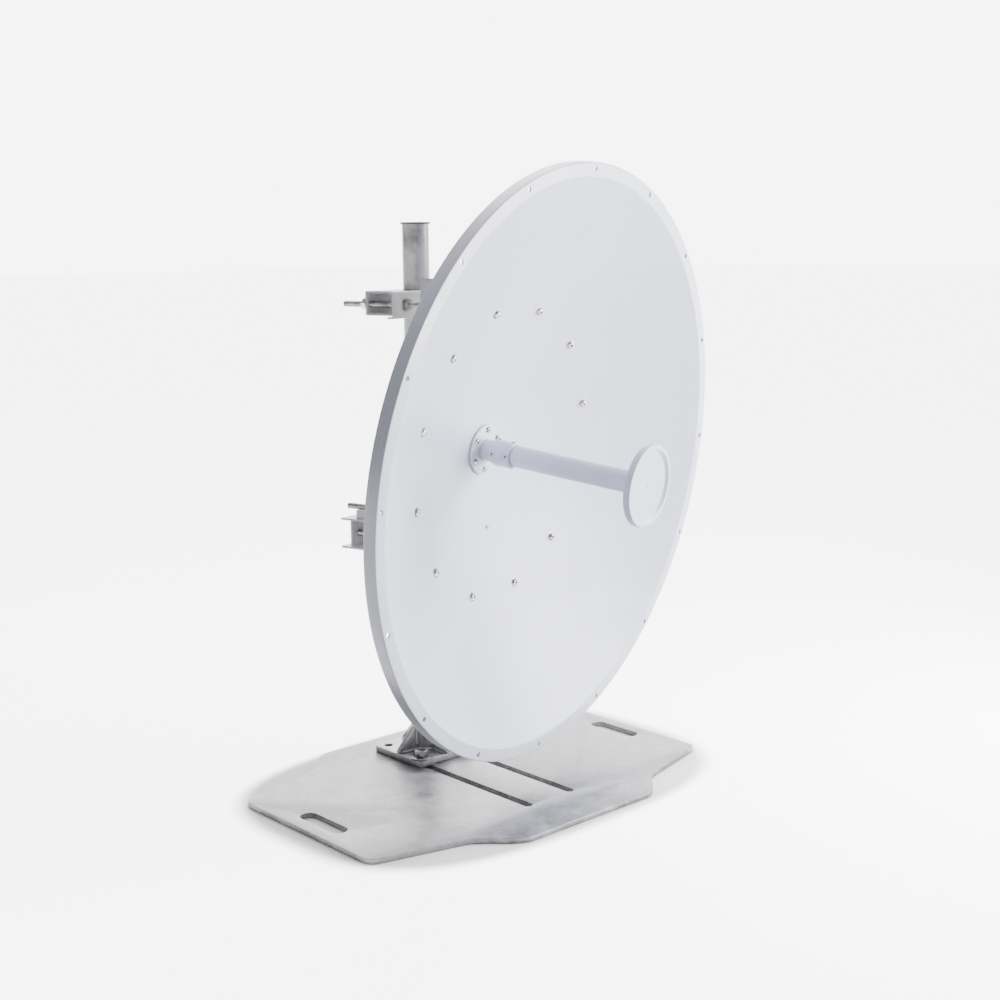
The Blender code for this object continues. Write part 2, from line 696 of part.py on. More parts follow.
def bracket_side(side):
    """One side plate of the bracket, seen from the side as (depth, height) points."""
    outline = [(RING_BACK + GAP, BRACKET_LOW), (BRACKET_TOE_BACK, BRACKET_LOW),
               (BRACKET_PIVOT_BACK, BRACKET_PIVOT_Z[0]), (BRACKET_PIVOT_BACK, BRACKET_PIVOT_Z[1]),
               (BRACKET_BACK, BRACKET_WEB_LOW),
               (BRACKET_BACK, BRACKET_TOP), (RING_BACK + GAP, BRACKET_TOP)]
    low_x, high_x = sorted((side * BRACKET_X[0], side * BRACKET_X[1]))
    bm = bmesh.new()
    face = bm.faces.new([bm.verts.new((low_x, depth, z)) for depth, z in outline])
    grown = bmesh.ops.extrude_face_region(bm, geom=[face])
    moved = [item for item in grown["geom"] if isinstance(item, bmesh.types.BMVert)]
    bmesh.ops.translate(bm, verts=moved, vec=(high_x - low_x, 0.0, 0.0))
    bmesh.ops.recalc_face_normals(bm, faces=bm.faces)
    return mesh_from("side", bm)


def in_dish(y, z):
    """A point of the mount's middle plane as the dish's (depth, height)."""
    back, rise = y - RIM_Y, z - RIM_Z
    return (back * math.cos(TILT) + rise * math.sin(TILT),
            -back * math.sin(TILT) + rise * math.cos(TILT))


def back_bracket(dish, paint):
    middle = (BRACKET_X[0] + BRACKET_X[1]) / 2.0
    data = box_mesh("web", (-middle, BRACKET_WEB[0], BRACKET_WEB_LOW + WEB_INSET),
                    (middle, BRACKET_WEB[1], BRACKET_TOP - WEB_INSET))
    bracket = add_object("back_bracket", data, dish, paint)
    pivot_depth, pivot_height = in_dish(PIVOT_Y, PIVOT_Z)
    slot_height = in_dish(-web_forward(BRACKET_WEB[1]), UPPER_ROD_Z)[1]
    web_front, web_back = BRACKET_WEB[0] - OVER, BRACKET_WEB[1] + OVER
    tab_front = RING_BACK + 2 * GAP
    for side in (-1, 1):
        fuse(bracket, bracket_side(side))
        tab_x = sorted((side * middle, side * TAB_OUT_X))
        for low, high in ((-TAB_Z[1], -TAB_Z[0]), TAB_Z):
            fuse(bracket, box_mesh("tab", (tab_x[0], tab_front, low),
                                   (tab_x[1], tab_front + TAB_STEEL, high)))
        cut(bracket, rod_mesh("pivot_hole", (side * (BRACKET_X[0] - OVER), pivot_depth, pivot_height),
                              (side * (BRACKET_X[1] + OVER), pivot_depth, pivot_height), PIVOT_HOLE_R))
        x = side * ROD_X
        cut(bracket, box_mesh("rod_slot", (x - ROD_SLOT_HALF_X, web_front, slot_height + ROD_SLOT_Z[0]),
                              (x + ROD_SLOT_HALF_X, web_back, slot_height + ROD_SLOT_Z[1])))
    cut(bracket, rod_mesh("window", (0.0, web_front, WINDOW_Z), (0.0, web_back, WINDOW_Z), WINDOW_R,
                          sides=24))


def feed_hub(dish, alloy):
    profile = [(0.0, -HUB_FRONT), (HUB_R, -HUB_FRONT), (HUB_R, -HUB_STEP),
               (HUB_NECK_R, -HUB_STEP - HUB_SLOPE), (HUB_NECK_R, -HUB_BACK), (0.0, -HUB_BACK)]
    open_turned("feed_hub", profile, dish, alloy, steps=32)


def waveguide(dish, alloy):
    data = box_mesh("guide", (-GUIDE_HALF_X, GUIDE_DEPTH[0], GUIDE_LOW),
                    (GUIDE_HALF_X, GUIDE_DEPTH[1], GUIDE_TOP))
    guide = add_object("waveguide", data, dish, alloy)
    bore = GUIDE_HALF_X - GUIDE_WALL
    front, back = GUIDE_DEPTH[0] + GUIDE_WALL, GUIDE_DEPTH[1] - GUIDE_WALL
    cut(guide, box_mesh("bore", (-bore, front, GUIDE_LOW - OVER), (bore, back, GUIDE_TOP - GUIDE_WALL)))
    wide = GUIDE_HALF_X + GUIDE_RIM_X
    top = GUIDE_LOW - GAP
    data = box_mesh("plate", (-wide, GUIDE_DEPTH[0] - GUIDE_RIM_Y, top - GUIDE_FLANGE),
                    (wide, GUIDE_DEPTH[1] + GUIDE_RIM_Y, top))
    flange = add_object("waveguide_flange", data, dish, alloy)
    cut(flange, box_mesh("mouth", (-bore, front, top - GUIDE_FLANGE - OVER), (bore, back, top + OVER)))


def build():
    global parts, cutters
    clear_scene()
    parts = make_collection("microwave_dish_antenna")
    cutters = make_collection("cutters")

    plate_steel = make_material("plate_steel", (0.55, 0.56, 0.57), 0.40, 0.9)
    galvanised = make_material("galvanised_steel", (0.50, 0.51, 0.52), 0.45, 0.9)
    zinc = make_material("zinc_fasteners", (0.48, 0.48, 0.47), 0.35, 0.9)
    white = make_material("white_paint", (0.75, 0.76, 0.80), 0.35, 0.0)
    bracket_white = make_material("bracket_paint", (0.72, 0.73, 0.75), 0.45, 0.0)
    grey_plastic = make_material("grey_plastic", (0.35, 0.35, 0.36), 0.50, 0.0)
    alloy = make_material("plain_alloy", (0.60, 0.60, 0.61), 0.35, 0.9)

    base_plate(plate_steel)
    foot_flange(galvanised)
    foot_gussets(galvanised)
    foot_bolts(zinc)
    pole(galvanised)
    pole_cap(grey_plastic)

    mount = make_empty("azimuth_axis", None, (0.0, POLE_Y, 0.0), turn_z=AZIMUTH)
    upper_rear_jaw(mount, bracket_white)
    lower_rear_jaw(mount, bracket_white)
    front_jaw("upper_front_jaw", mount, bracket_white, UPPER_FRONT,
              [(-ROD_X, UPPER_ROD_Z), (ROD_X, UPPER_ROD_Z)])
    lower_front_jaw(mount, bracket_white)
    lower_lugs(mount, bracket_white)
    clamp_rods(mount, zinc)
    pivot_bolts(mount, zinc)
    elevation_nuts(mount, zinc)

    pivot = make_empty("elevation_axis", mount, (0.0, PIVOT_Y, PIVOT_Z), turn_x=TILT)
    back, rise = in_dish(PIVOT_Y, PIVOT_Z)
    dish = make_empty("dish_axes", pivot, (0.0, -back, -rise))
    reflector(dish, white)
    feed_flange(dish, white)
    feed_tube(dish, white)
    feed_collar(dish, white)
    sub_reflector(dish, white)
    back_ring(dish, bracket_white)
    back_bracket(dish, bracket_white)
    feed_hub(dish, alloy)
    waveguide(dish, alloy)


build()
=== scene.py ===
# Microwave dish antenna on its pole and stand plate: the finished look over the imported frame.
import math

import bmesh
import bpy
from mathutils import Matrix, Vector, noise


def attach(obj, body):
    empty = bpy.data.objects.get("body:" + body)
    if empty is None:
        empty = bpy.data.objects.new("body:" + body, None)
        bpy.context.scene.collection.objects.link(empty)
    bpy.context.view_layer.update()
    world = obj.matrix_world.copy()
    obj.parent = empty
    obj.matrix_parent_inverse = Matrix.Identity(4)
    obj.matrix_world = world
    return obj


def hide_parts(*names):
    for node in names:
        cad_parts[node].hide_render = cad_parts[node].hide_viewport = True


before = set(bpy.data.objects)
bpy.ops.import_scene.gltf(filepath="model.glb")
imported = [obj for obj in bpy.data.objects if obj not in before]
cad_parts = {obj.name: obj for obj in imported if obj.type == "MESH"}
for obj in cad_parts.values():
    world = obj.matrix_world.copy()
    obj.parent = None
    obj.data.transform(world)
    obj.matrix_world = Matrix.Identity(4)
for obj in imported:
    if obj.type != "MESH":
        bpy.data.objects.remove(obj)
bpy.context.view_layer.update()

# Sizes, in metres, the same as the part's
GAP = 0.0003
POLE_Y = 0.140
POLE_R = 0.0212
POLE_BORE = 0.0186
POLE_TOP = 0.873
CAP_R = 0.0240
CAP_THICK = 0.003
PLATE_THICK = 0.008
SLOT_X = 0.0435
FOOT_HALF = 0.060
FOOT_TOP = 0.0183
AZIMUTH = math.radians(14.0)
TILT = math.radians(6.9)
RIM_CENTRE = Vector((0.0, -0.2777, 0.5045))
RIM_R = 0.457
SKIRT_DEEP = 0.020
SHEET = 0.0025
BOWL_R = 0.436
FOCUS = 0.3094
BOWL_DEEP = BOWL_R ** 2 / (4.0 * FOCUS)
RIM_HOLE_CIRCLE = 0.4475
RING_SCREW_CIRCLE = 0.2285
SUB_FRONT = 0.1459
ROD_X = 0.060
UPPER_ROD_Z = 0.749
LOWER_ROD_Z = 0.4226
LOWER_TIE_Z = 0.380
PIVOT = Vector((0.0, -0.055, 0.381))
UPPER_JAW_HALF = 0.070
LOWER_JAW_HALF = 0.078
FRONT_HALF = 0.091
FRONT_FACE_Y = -0.0248

WORLD = Matrix.Identity(4)
STAND = Matrix.Translation((0.0, POLE_Y, 0.0))
MOUNT = STAND @ Matrix.Rotation(AZIMUTH, 4, "Z")
# The dish's axes: x along the rim's level line, z back from the rim plane, y down the rim
DISH = MOUNT @ Matrix.Translation(RIM_CENTRE) @ Matrix.Rotation(TILT, 4, "X")
TURNED = DISH @ Matrix.Rotation(math.pi / 2.0, 4, "X")


# Materials
class Surface:
    """A Principled material whose detail comes from noise in the object's own space."""

    def __init__(self, name, metallic, roughness, **sockets):
        self.material = bpy.data.materials.new(name)
        self.material.use_nodes = True
        self.tree = self.material.node_tree
        self.shader = self.tree.nodes["Principled BSDF"]
        self.shader.inputs["Metallic"].default_value = metallic
        self.shader.inputs["Roughness"].default_value = roughness
        for socket, value in sockets.items():
            self.shader.inputs[socket.replace("_", " ")].default_value = value
        self.place = self.node("ShaderNodeTexCoord").outputs["Object"]
        self.height = None

    def node(self, kind, **settings):
        made = self.tree.nodes.new(kind)
        for key, value in settings.items():
            setattr(made, key, value)
        return made

    def link(self, start, end):
        self.tree.links.new(start, end)

    def stretched(self, scale, turn=(0.0, 0.0, 0.0)):
        mapping = self.node("ShaderNodeMapping")
        mapping.inputs["Scale"].default_value = scale
        mapping.inputs["Rotation"].default_value = turn
        self.link(self.place, mapping.inputs["Vector"])
        return mapping.outputs["Vector"]

    def noise(self, scale, detail=3.0, rough=0.55, where=None, distortion=0.0):
        made = self.node("ShaderNodeTexNoise")
        made.inputs["Scale"].default_value = scale
        made.inputs["Detail"].default_value = detail
        made.inputs["Roughness"].default_value = rough
        made.inputs["Distortion"].default_value = distortion
        self.link(where or self.place, made.inputs["Vector"])
        return made.outputs["Fac"]

    def cells(self, scale, randomness=1.0):
        made = self.node("ShaderNodeTexVoronoi")
        made.inputs["Scale"].default_value = scale
        made.inputs["Randomness"].default_value = randomness
        self.link(self.place, made.inputs["Vector"])
        grey = self.node("ShaderNodeRGBToBW")
        self.link(made.outputs["Color"], grey.inputs["Color"])
        return grey.outputs["Val"]

    def spread(self, value, low, high, start=0.3, end=0.7):
        """The value, eased from its own start..end to low..high."""
        made = self.node("ShaderNodeMapRange", interpolation_type="SMOOTHSTEP")
        made.inputs["From Min"].default_value = start
        made.inputs["From Max"].default_value = end
        made.inputs["To Min"].default_value = low
        made.inputs["To Max"].default_value = high
        self.link(value, made.inputs["Value"])
        return made.outputs["Result"]

    def sum(self, first, second, operation="ADD"):
        made = self.node("ShaderNodeMath", operation=operation)
        for value, socket in ((first, made.inputs[0]), (second, made.inputs[1])):
            if isinstance(value, float):
                socket.default_value = value
            else:
                self.link(value, socket)
        return made.outputs["Value"]

    def blend(self, value, first, second):
        """Two colours mixed by a value; either may be a socket."""
        made = self.node("ShaderNodeMix", data_type="RGBA")
        self.link(value, made.inputs["Factor"])
        for colour, socket in ((first, made.inputs["A"]), (second, made.inputs["B"])):
            if isinstance(colour, tuple):
                socket.default_value = (*colour, 1.0)
            else:
                self.link(colour, socket)
        return made.outputs["Result"]

    def bump(self, value, strength, distance):
        made = self.node("ShaderNodeBump")
        made.inputs["Strength"].default_value = strength
        made.inputs["Distance"].default_value = distance
        self.link(value, made.inputs["Height"])
        if self.height is not None:
            self.link(self.height, made.inputs["Normal"])
        self.height = made.outputs["Normal"]

    def finish(self, colour, roughness):
        self.link(colour, self.shader.inputs["Base Color"])
        self.link(roughness, self.shader.inputs["Roughness"])
        if self.height is not None:
            self.link(self.height, self.shader.inputs["Normal"])
        return self.material


def painted(name, colour, soil, peel):
    """Powder coat: fine orange peel, faint clouding and a little dust that dulls it."""
    made = Surface(name, 0.0, 0.36, Coat_Weight=0.12, Coat_Roughness=0.22, Specular_IOR_Level=0.5)
    cloud = made.noise(9.0, 4.0, 0.6)
    fine = made.noise(900.0, 2.0, 0.5)
    dust = made.spread(made.noise(48.0, 6.0, 0.65, distortion=0.4), 0.0, 1.0, 0.50, 0.78)
    tint = made.blend(made.spread(cloud, 0.0, 0.5), colour, soil)
    tint = made.blend(made.sum(dust, 0.35, "MULTIPLY"), tint, soil)
    rough = made.sum(made.spread(cloud, 0.33, 0.41), made.spread(fine, -0.03, 0.03))
    made.bump(made.noise(420.0, 2.0, 0.5), peel, 0.0004)
    made.bump(cloud, 0.05, 0.002)
    return made.finish(tint, rough)


def galvanised(name, dark, light, cell, scratch_turn, wear):
    """Zinc coat: crystal cells, drawn clouds, handling scratches and a duller bloom."""
    made = Surface(name, 0.86, 0.42, Specular_IOR_Level=0.5)
    cloud = made.noise(14.0, 5.0, 0.62, distortion=0.6)
    grain = made.cells(cell)
    along = made.stretched((1.0, 26.0, 1.0), scratch_turn)
    scratch = made.spread(made.noise(34.0, 5.0, 0.75, where=along), 0.0, 1.0, 0.60, 0.70)
    bloom = made.spread(made.noise(30.0, 6.0, 0.7), 0.0, 1.0, 0.48, 0.72)
    tone = made.sum(made.spread(cloud, 0.10, 0.75), made.spread(grain, 0.0, 0.25, 0.0, 1.0))
    colour = made.blend(tone, dark, light)
    colour = made.blend(made.sum(bloom, wear, "MULTIPLY"), colour, (0.62, 0.63, 0.64))
    colour = made.blend(made.sum(scratch, 0.25, "MULTIPLY"), colour, (0.78, 0.79, 0.80))
    rough = made.sum(made.spread(cloud, 0.36, 0.52), made.spread(grain, -0.05, 0.05, 0.0, 1.0))
    rough = made.sum(rough, made.sum(bloom, 0.10, "MULTIPLY"))
    made.bump(scratch, 0.10, 0.0003)
    made.bump(made.noise(160.0, 4.0, 0.6), 0.10, 0.0006)
    return made.finish(colour, rough)


def machined(name, dark, light, roughness, grit):
    """Bare or plated metal with fine tool marks and dull patches."""
    made = Surface(name, 0.95, roughness, Specular_IOR_Level=0.5)
    cloud = made.noise(60.0, 4.0, 0.6)
    fine = made.noise(grit, 3.0, 0.6)
    colour = made.blend(made.spread(cloud, 0.0, 1.0), dark, light)
    rough = made.sum(made.spread(cloud, roughness - 0.06, roughness + 0.10), made.spread(fine, -0.04, 0.04))
    made.bump(fine, 0.12, 0.0002)
    return made.finish(colour, rough)


def moulded(name, colour, light):
    """Plain plastic with a fine moulded grain and chalking."""
    made = Surface(name, 0.0, 0.55, Specular_IOR_Level=0.4)
    cloud = made.noise(55.0, 4.0, 0.6)
    tint = made.blend(made.spread(cloud, 0.0, 1.0), colour, light)
    made.bump(made.noise(1200.0, 2.0, 0.5), 0.18, 0.0003)
    return made.finish(tint, made.spread(cloud, 0.48, 0.62))


WHITE = painted("dish_white", (0.640, 0.658, 0.790), (0.585, 0.600, 0.700), 0.10)
BRACKET = painted("bracket_white", (0.740, 0.745, 0.760), (0.640, 0.645, 0.655), 0.14)
PLATE_STEEL = galvanised("plate_zinc", (0.11, 0.11, 0.115), (0.33, 0.33, 0.34), 130.0, (0.0, 0.0, 0.6), 0.35)
GALVANISED = galvanised("hot_dip_zinc", (0.24, 0.24, 0.245), (0.46, 0.46, 0.465), 210.0, (1.2, 0.3, 0.0), 0.35)
WELD = galvanised("weld_zinc", (0.26, 0.26, 0.27), (0.50, 0.50, 0.51), 600.0, (0.2, 0.9, 0.0), 0.45)
ZINC = machined("zinc_plate", (0.24, 0.235, 0.23), (0.44, 0.43, 0.42), 0.30, 1400.0)
STAINLESS = machined("stainless", (0.20, 0.195, 0.19), (0.42, 0.41, 0.40), 0.22, 1800.0)
ALLOY = machined("plain_alloy", (0.50, 0.50, 0.51), (0.68, 0.68, 0.69), 0.34, 1100.0)
PLASTIC = moulded("cap_plastic", (0.10, 0.10, 0.11), (0.16, 0.16, 0.17))


# Mesh helpers. Each builds a mesh in local axes, and add_piece puts it in the row frame
def from_bmesh(name, bm):
    data = bpy.data.meshes.new(name)
    bm.to_mesh(data)
    bm.free()
    return data


def add_piece(name, data, axes, body, material, replaces=(), modifiers=(), crease=35.0):
    made = bpy.data.objects.new(name, data)
    bpy.context.scene.collection.objects.link(made)
    for kind, settings in modifiers:
        step = made.modifiers.new(kind.lower(), kind)
        for key, value in settings.items():
            setattr(step, key, value)
    if modifiers:
        bpy.context.view_layer.update()
        seen = made.evaluated_get(bpy.context.evaluated_depsgraph_get())
        made.modifiers.clear()
        made.data = bpy.data.meshes.new_from_object(seen)
    made.data.transform(axes)
    made.data.update()
    made.data.materials.clear()
    made.data.materials.append(material)
    made.data.shade_smooth()
    made.data.set_sharp_from_angle(angle=math.radians(crease))
    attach(made, body)
    if replaces:
        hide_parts(*replaces)
    return made


def join_data(name, pieces):
    """One mesh from several (mesh, matrix) pairs."""
    bm = bmesh.new()
    for data, place in pieces:
        part = data.copy()
        part.transform(place)
        bm.from_mesh(part)
        bpy.data.meshes.remove(part)
    return from_bmesh(name, bm)


def lathe(name, profile, steps, closed=True):
    """A closed outline of (radius, z), or an open one whose ends lie on the axis, turned about Z."""
    bm = bmesh.new()
    rings = []
    for radius, z in profile:
        if radius < 1e-7:
            rings.append([bm.verts.new((0.0, 0.0, z))])
            continue
        turns = [2.0 * math.pi * i / steps for i in range(steps)]
        rings.append([bm.verts.new((radius * math.cos(a), radius * math.sin(a), z)) for a in turns])
    pairs = list(zip(rings, rings[1:]))
    if closed:
        pairs.append((rings[-1], rings[0]))
    for first, second in pairs:
        skin(bm, first, second)
    bmesh.ops.recalc_face_normals(bm, faces=bm.faces)
    return from_bmesh(name, bm)


def skin(bm, first, second):
    """Faces between two rings of points, either of which may be a single point."""
    steps = max(len(first), len(second))
    for i in range(steps):
        j = (i + 1) % steps
        corners = [first[i % len(first)], first[j % len(first)], second[j % len(second)], second[i % len(second)]]
        bm.faces.new(list(dict.fromkeys(corners)))


def soften(profile, radius, steps=3, closed=True):
    """The outline with each corner sharper than 20 degrees rounded to this radius."""
    points = [Vector(point) for point in profile]
    count = len(points)
    found = []
    for i, here in enumerate(points):
        if not closed and i in (0, count - 1):
            found.append(here)
            continue
        to_last = points[i - 1] - here
        to_next = points[(i + 1) % count] - here
        angle = to_last.angle(to_next)
        if angle > math.radians(160.0):
            found.append(here)
            continue
        reach = min(radius / math.tan(angle / 2.0), 0.45 * to_last.length, 0.45 * to_next.length)
        start = here + to_last.normalized() * reach
        end = here + to_next.normalized() * reach
        for j in range(steps + 1):
            t = j / steps
            found.append((1 - t) ** 2 * start + 2 * (1 - t) * t * here + t * t * end)
    return [tuple(point) for point in found]


def box_data(name, low, high):
    low, high = Vector(low), Vector(high)
    bm = bmesh.new()
    place = Matrix.Translation((low + high) / 2.0) @ Matrix.Diagonal((*(high - low), 1.0))
    bmesh.ops.create_cube(bm, size=1.0, matrix=place)
    return from_bmesh(name, bm)


def bar_data(name, start, end, radius, sides=32):
    start, end = Vector(start), Vector(end)
    turn = (end - start).to_track_quat("Z", "Y").to_matrix().to_4x4()
    bm = bmesh.new()
    bmesh.ops.create_cone(bm, cap_ends=True, segments=sides, radius1=radius, radius2=radius,
                          depth=(end - start).length, matrix=Matrix.Translation((start + end) / 2.0) @ turn)
    return from_bmesh(name, bm)


def prism_data(name, outline, low, high, axis="Z"):
    """A flat outline given thickness along Z, or along X with the outline as (y, z)."""
    bm = bmesh.new()
    if axis == "Z":
        face = bm.faces.new([bm.verts.new((x, y, low)) for x, y in outline])
        lift = Vector((0.0, 0.0, high - low))
    else:
        face = bm.faces.new([bm.verts.new((low, y, z)) for y, z in outline])
        lift = Vector((high - low, 0.0, 0.0))
    grown = bmesh.ops.extrude_face_region(bm, geom=[face])
    moved = [item for item in grown["geom"] if isinstance(item, bmesh.types.BMVert)]
    bmesh.ops.translate(bm, verts=moved, vec=lift)
    bmesh.ops.recalc_face_normals(bm, faces=bm.faces)
    return from_bmesh(name, bm)


def carve(data, tools, operation="DIFFERENCE"):
    """The mesh with each tool mesh cut from it, or fused to it."""
    base = bpy.data.objects.new("carving", data)
    bpy.context.scene.collection.objects.link(base)
    helpers = []
    for tool in tools:
        helper = bpy.data.objects.new("tool", tool)
        bpy.context.scene.collection.objects.link(helper)
        step = base.modifiers.new("carve", "BOOLEAN")
        step.operation = operation
        step.solver = "EXACT"
        step.object = helper
        helpers.append(helper)
    bpy.context.view_layer.update()
    seen = base.evaluated_get(bpy.context.evaluated_depsgraph_get())
    made = bpy.data.meshes.new_from_object(seen)
    for item in [base] + helpers:
        bpy.data.objects.remove(item, do_unlink=True)
    return made


def soft_edges(width, segments=2, angle=30.0):
    return ("BEVEL", {"width": width, "segments": segments, "limit_method": "ANGLE",
                      "angle_limit": math.radians(angle), "harden_normals": False})


def slab(name, loops, thick, edge, steps=2):
    """A flat plate with holes from closed loops, with rounded edges, its underside at z 0."""
    curve = bpy.data.curves.new(name, "CURVE")
    curve.dimensions = "2D"
    curve.fill_mode = "BOTH"
    curve.extrude = thick / 2.0 - edge
    curve.bevel_depth = edge
    curve.bevel_resolution = steps
    curve.offset = -edge
    for loop in loops:
        spline = curve.splines.new("POLY")
        spline.points.add(len(loop) - 1)
        for point, (x, y) in zip(spline.points, loop):
            point.co = (x, y, 0.0, 1.0)
        spline.use_cyclic_u = True
    holder = bpy.data.objects.new(name, curve)
    bpy.context.scene.collection.objects.link(holder)
    bpy.context.view_layer.update()
    seen = holder.evaluated_get(bpy.context.evaluated_depsgraph_get())
    data = bpy.data.meshes.new_from_object(seen)
    bpy.data.objects.remove(holder, do_unlink=True)
    bm = bmesh.new()
    bm.from_mesh(data)
    bmesh.ops.remove_doubles(bm, verts=bm.verts, dist=0.00001)
    bmesh.ops.translate(bm, verts=bm.verts, vec=(0.0, 0.0, thick / 2.0))
    return from_bmesh(name, bm)


def ring_points(radius, count, centre=(0.0, 0.0), start=0.0):
    turns = [start + 2.0 * math.pi * i / count for i in range(count)]
    return [(centre[0] + radius * math.cos(a), centre[1] + radius * math.sin(a)) for a in turns]


def hex_radius(angle, flats):
    """Distance from a hexagon's middle to its side in this direction."""
    turn = (angle + math.pi / 6.0) % (math.pi / 3.0) - math.pi / 6.0
    return flats / 2.0 / math.cos(turn)


HEX_STEPS = 48


def hex_ring(bm, z, radius_at):
    turns = [2.0 * math.pi * i / HEX_STEPS for i in range(HEX_STEPS)]
    return [bm.verts.new((radius_at(a) * math.cos(a), radius_at(a) * math.sin(a), z(a))) for a in turns]


def nut_data(name, flats, high, bore, both_ends=True):
    """A chamfered hexagon nut standing on z 0. A bore of zero makes a plain bolt head."""
    rise = math.tan(math.radians(30.0))
    face_r = 0.475 * flats

    def corner(a):
        return hex_radius(a, flats)

    def drop(a):
        return (corner(a) - face_r) * rise

    bm = bmesh.new()
    inner = max(bore, 0.00001)
    lead = 0.0004
    rings = []
    if both_ends:
        rings.append(hex_ring(bm, lambda a: 0.0, lambda a: face_r))
        rings.append(hex_ring(bm, drop, corner))
    else:
        rings.append(hex_ring(bm, lambda a: 0.0, corner))
    rings.append(hex_ring(bm, lambda a: high - drop(a), corner))
    rings.append(hex_ring(bm, lambda a: high, lambda a: face_r))
    if bore > 0.0:
        rings.append(hex_ring(bm, lambda a: high, lambda a: inner + lead))
        rings.append(hex_ring(bm, lambda a: high - lead, lambda a: inner))
        rings.append(hex_ring(bm, lambda a: lead, lambda a: inner))
        rings.append(hex_ring(bm, lambda a: 0.0, lambda a: inner + lead))
        pairs = list(zip(rings, rings[1:] + rings[:1]))
    else:
        pairs = list(zip(rings, rings[1:]))
        bm.faces.new(rings[-1])
        bm.faces.new(list(reversed(rings[0])))
    for first, second in pairs:
        skin(bm, first, second)
    bmesh.ops.recalc_face_normals(bm, faces=bm.faces)
    return from_bmesh(name, bm)


def washer_data(name, outer, inner, thick):
    profile = [(inner, 0.0), (outer, 0.0), (outer, thick), (inner, thick)]
    return lathe(name, soften(profile, thick * 0.22, 2), 40)


def thread_data(name, radius, pitch, length, sides=18, rings_per_turn=6):
    """A threaded rod from z 0: its surface follows the helix, and its ends are chamfered."""
    depth = 0.54 * pitch
    lead = 1.2 * depth
    bm = bmesh.new()
    count = max(2, round(length / pitch * rings_per_turn))
    rings = []
    for i in range(count + 1):
        z = length * i / count
        ring = []
        for j in range(sides):
            turn = j / sides
            phase = (z / pitch - turn) % 1.0
            crest = 1.0 - abs(2.0 * phase - 1.0)
            r = radius - depth * (1.0 - crest)
            r = min(r, radius - lead + min(z, length - z))
            ring.append(bm.verts.new((r * math.cos(2 * math.pi * turn), r * math.sin(2 * math.pi * turn), z)))
        rings.append(ring)
    for first, second in zip(rings, rings[1:]):
        skin(bm, first, second)
    bm.faces.new(list(reversed(rings[0])))
    bm.faces.new(rings[-1])
    bmesh.ops.recalc_face_normals(bm, faces=bm.faces)
    return from_bmesh(name, bm)


def button_head_data(name, radius, high, socket_flats, socket_deep):
    """A domed socket head standing on z 0."""
    bm = bmesh.new()

    def socket(a):
        return hex_radius(a, socket_flats)

    rings = []
    for i in range(9):
        t = i / 8.0 * math.radians(64.0)
        r = radius * math.cos(t)
        z = 0.12 * high + 0.88 * high * math.sin(t) / math.sin(math.radians(64.0))
        rings.append(hex_ring(bm, lambda a, z=z: z, lambda a, r=r: r))
    rings.insert(0, hex_ring(bm, lambda a: 0.0, lambda a: radius * 0.97))
    lip = radius * 0.02
    rings.append(hex_ring(bm, lambda a: high, lambda a: socket(a) + lip))
    rings.append(hex_ring(bm, lambda a: high - lip, socket))
    rings.append(hex_ring(bm, lambda a: high - socket_deep, socket))
    for first, second in zip(rings, rings[1:]):
        skin(bm, first, second)
    bm.faces.new(rings[-1])
    bm.faces.new(list(reversed(rings[0])))
    bmesh.ops.recalc_face_normals(bm, faces=bm.faces)
    return from_bmesh(name, bm)


def facing(place, direction):
    """Axes at a place whose z looks along a direction."""
    turn = Vector(direction).to_track_quat("Z", "Y").to_matrix().to_4x4()
    return Matrix.Translation(place) @ turn


def spun(turn_deg):
    return Matrix.Rotation(math.radians(turn_deg), 4, "Z")


FORWARD = Vector((0.0, -1.0, 0.0))
BACK = Vector((0.0, 1.0, 0.0))
UP = Vector((0.0, 0.0, 1.0))
DOWN = Vector((0.0, 0.0, -1.0))


# Stand plate and foot
PLATE_HALF_X = 0.340
PLATE_HALF_Y = 0.250
PLATE_FLAT_HALF = 0.118
WING_ROOT = (0.198, 0.1935)
WING_SLOPE = 0.26
CORNER_CUT = 0.016
SHOULDER_HANDLE = 0.030
HAND_HOLE = (0.305, 0.026, 0.100)
LONG_SLOT = (0.014, -0.163, 0.195)
LEFT_RIGHT = (("left", -1), ("right", 1))


def bezier(points, steps):
    p0, p1, p2, p3 = (Vector(p) for p in points)
    found = []
    for i in range(steps + 1):
        t = i / steps
        found.append(tuple((1 - t) ** 3 * p0 + 3 * (1 - t) ** 2 * t * p1 + 3 * (1 - t) * t * t * p2 + t ** 3 * p3))
    return found


def slot_points(centre_x, low_y, high_y, width, steps=14):
    radius = width / 2.0
    loop = []
    for end_y, first in ((high_y - radius, 0.0), (low_y + radius, math.pi)):
        for i in range(steps + 1):
            turn = first + math.pi * i / steps
            loop.append((centre_x + radius * math.cos(turn), end_y + radius * math.sin(turn)))
    return loop


def plate_outline():
    corner = Vector((PLATE_HALF_X, WING_ROOT[1] - (PLATE_HALF_X - WING_ROOT[0]) * WING_SLOPE))
    along = Vector((-1.0, WING_SLOPE)).normalized()
    start, finish = corner - Vector((0.0, CORNER_CUT)), corner + along * CORNER_CUT
    rounded = bezier([start, start.lerp(corner, 0.6), finish.lerp(corner, 0.6), finish], 10)
    root, flat_end = Vector(WING_ROOT), Vector((PLATE_FLAT_HALF, PLATE_HALF_Y))
    shoulder = bezier([root, root + along * SHOULDER_HANDLE,
                       flat_end + Vector((SHOULDER_HANDLE, 0.0)), flat_end], 24)
    quarter = rounded + shoulder
    return (quarter + [(-x, y) for x, y in reversed(quarter)] + [(-x, -y) for x, y in quarter]
            + [(x, -y) for x, y in reversed(quarter)])


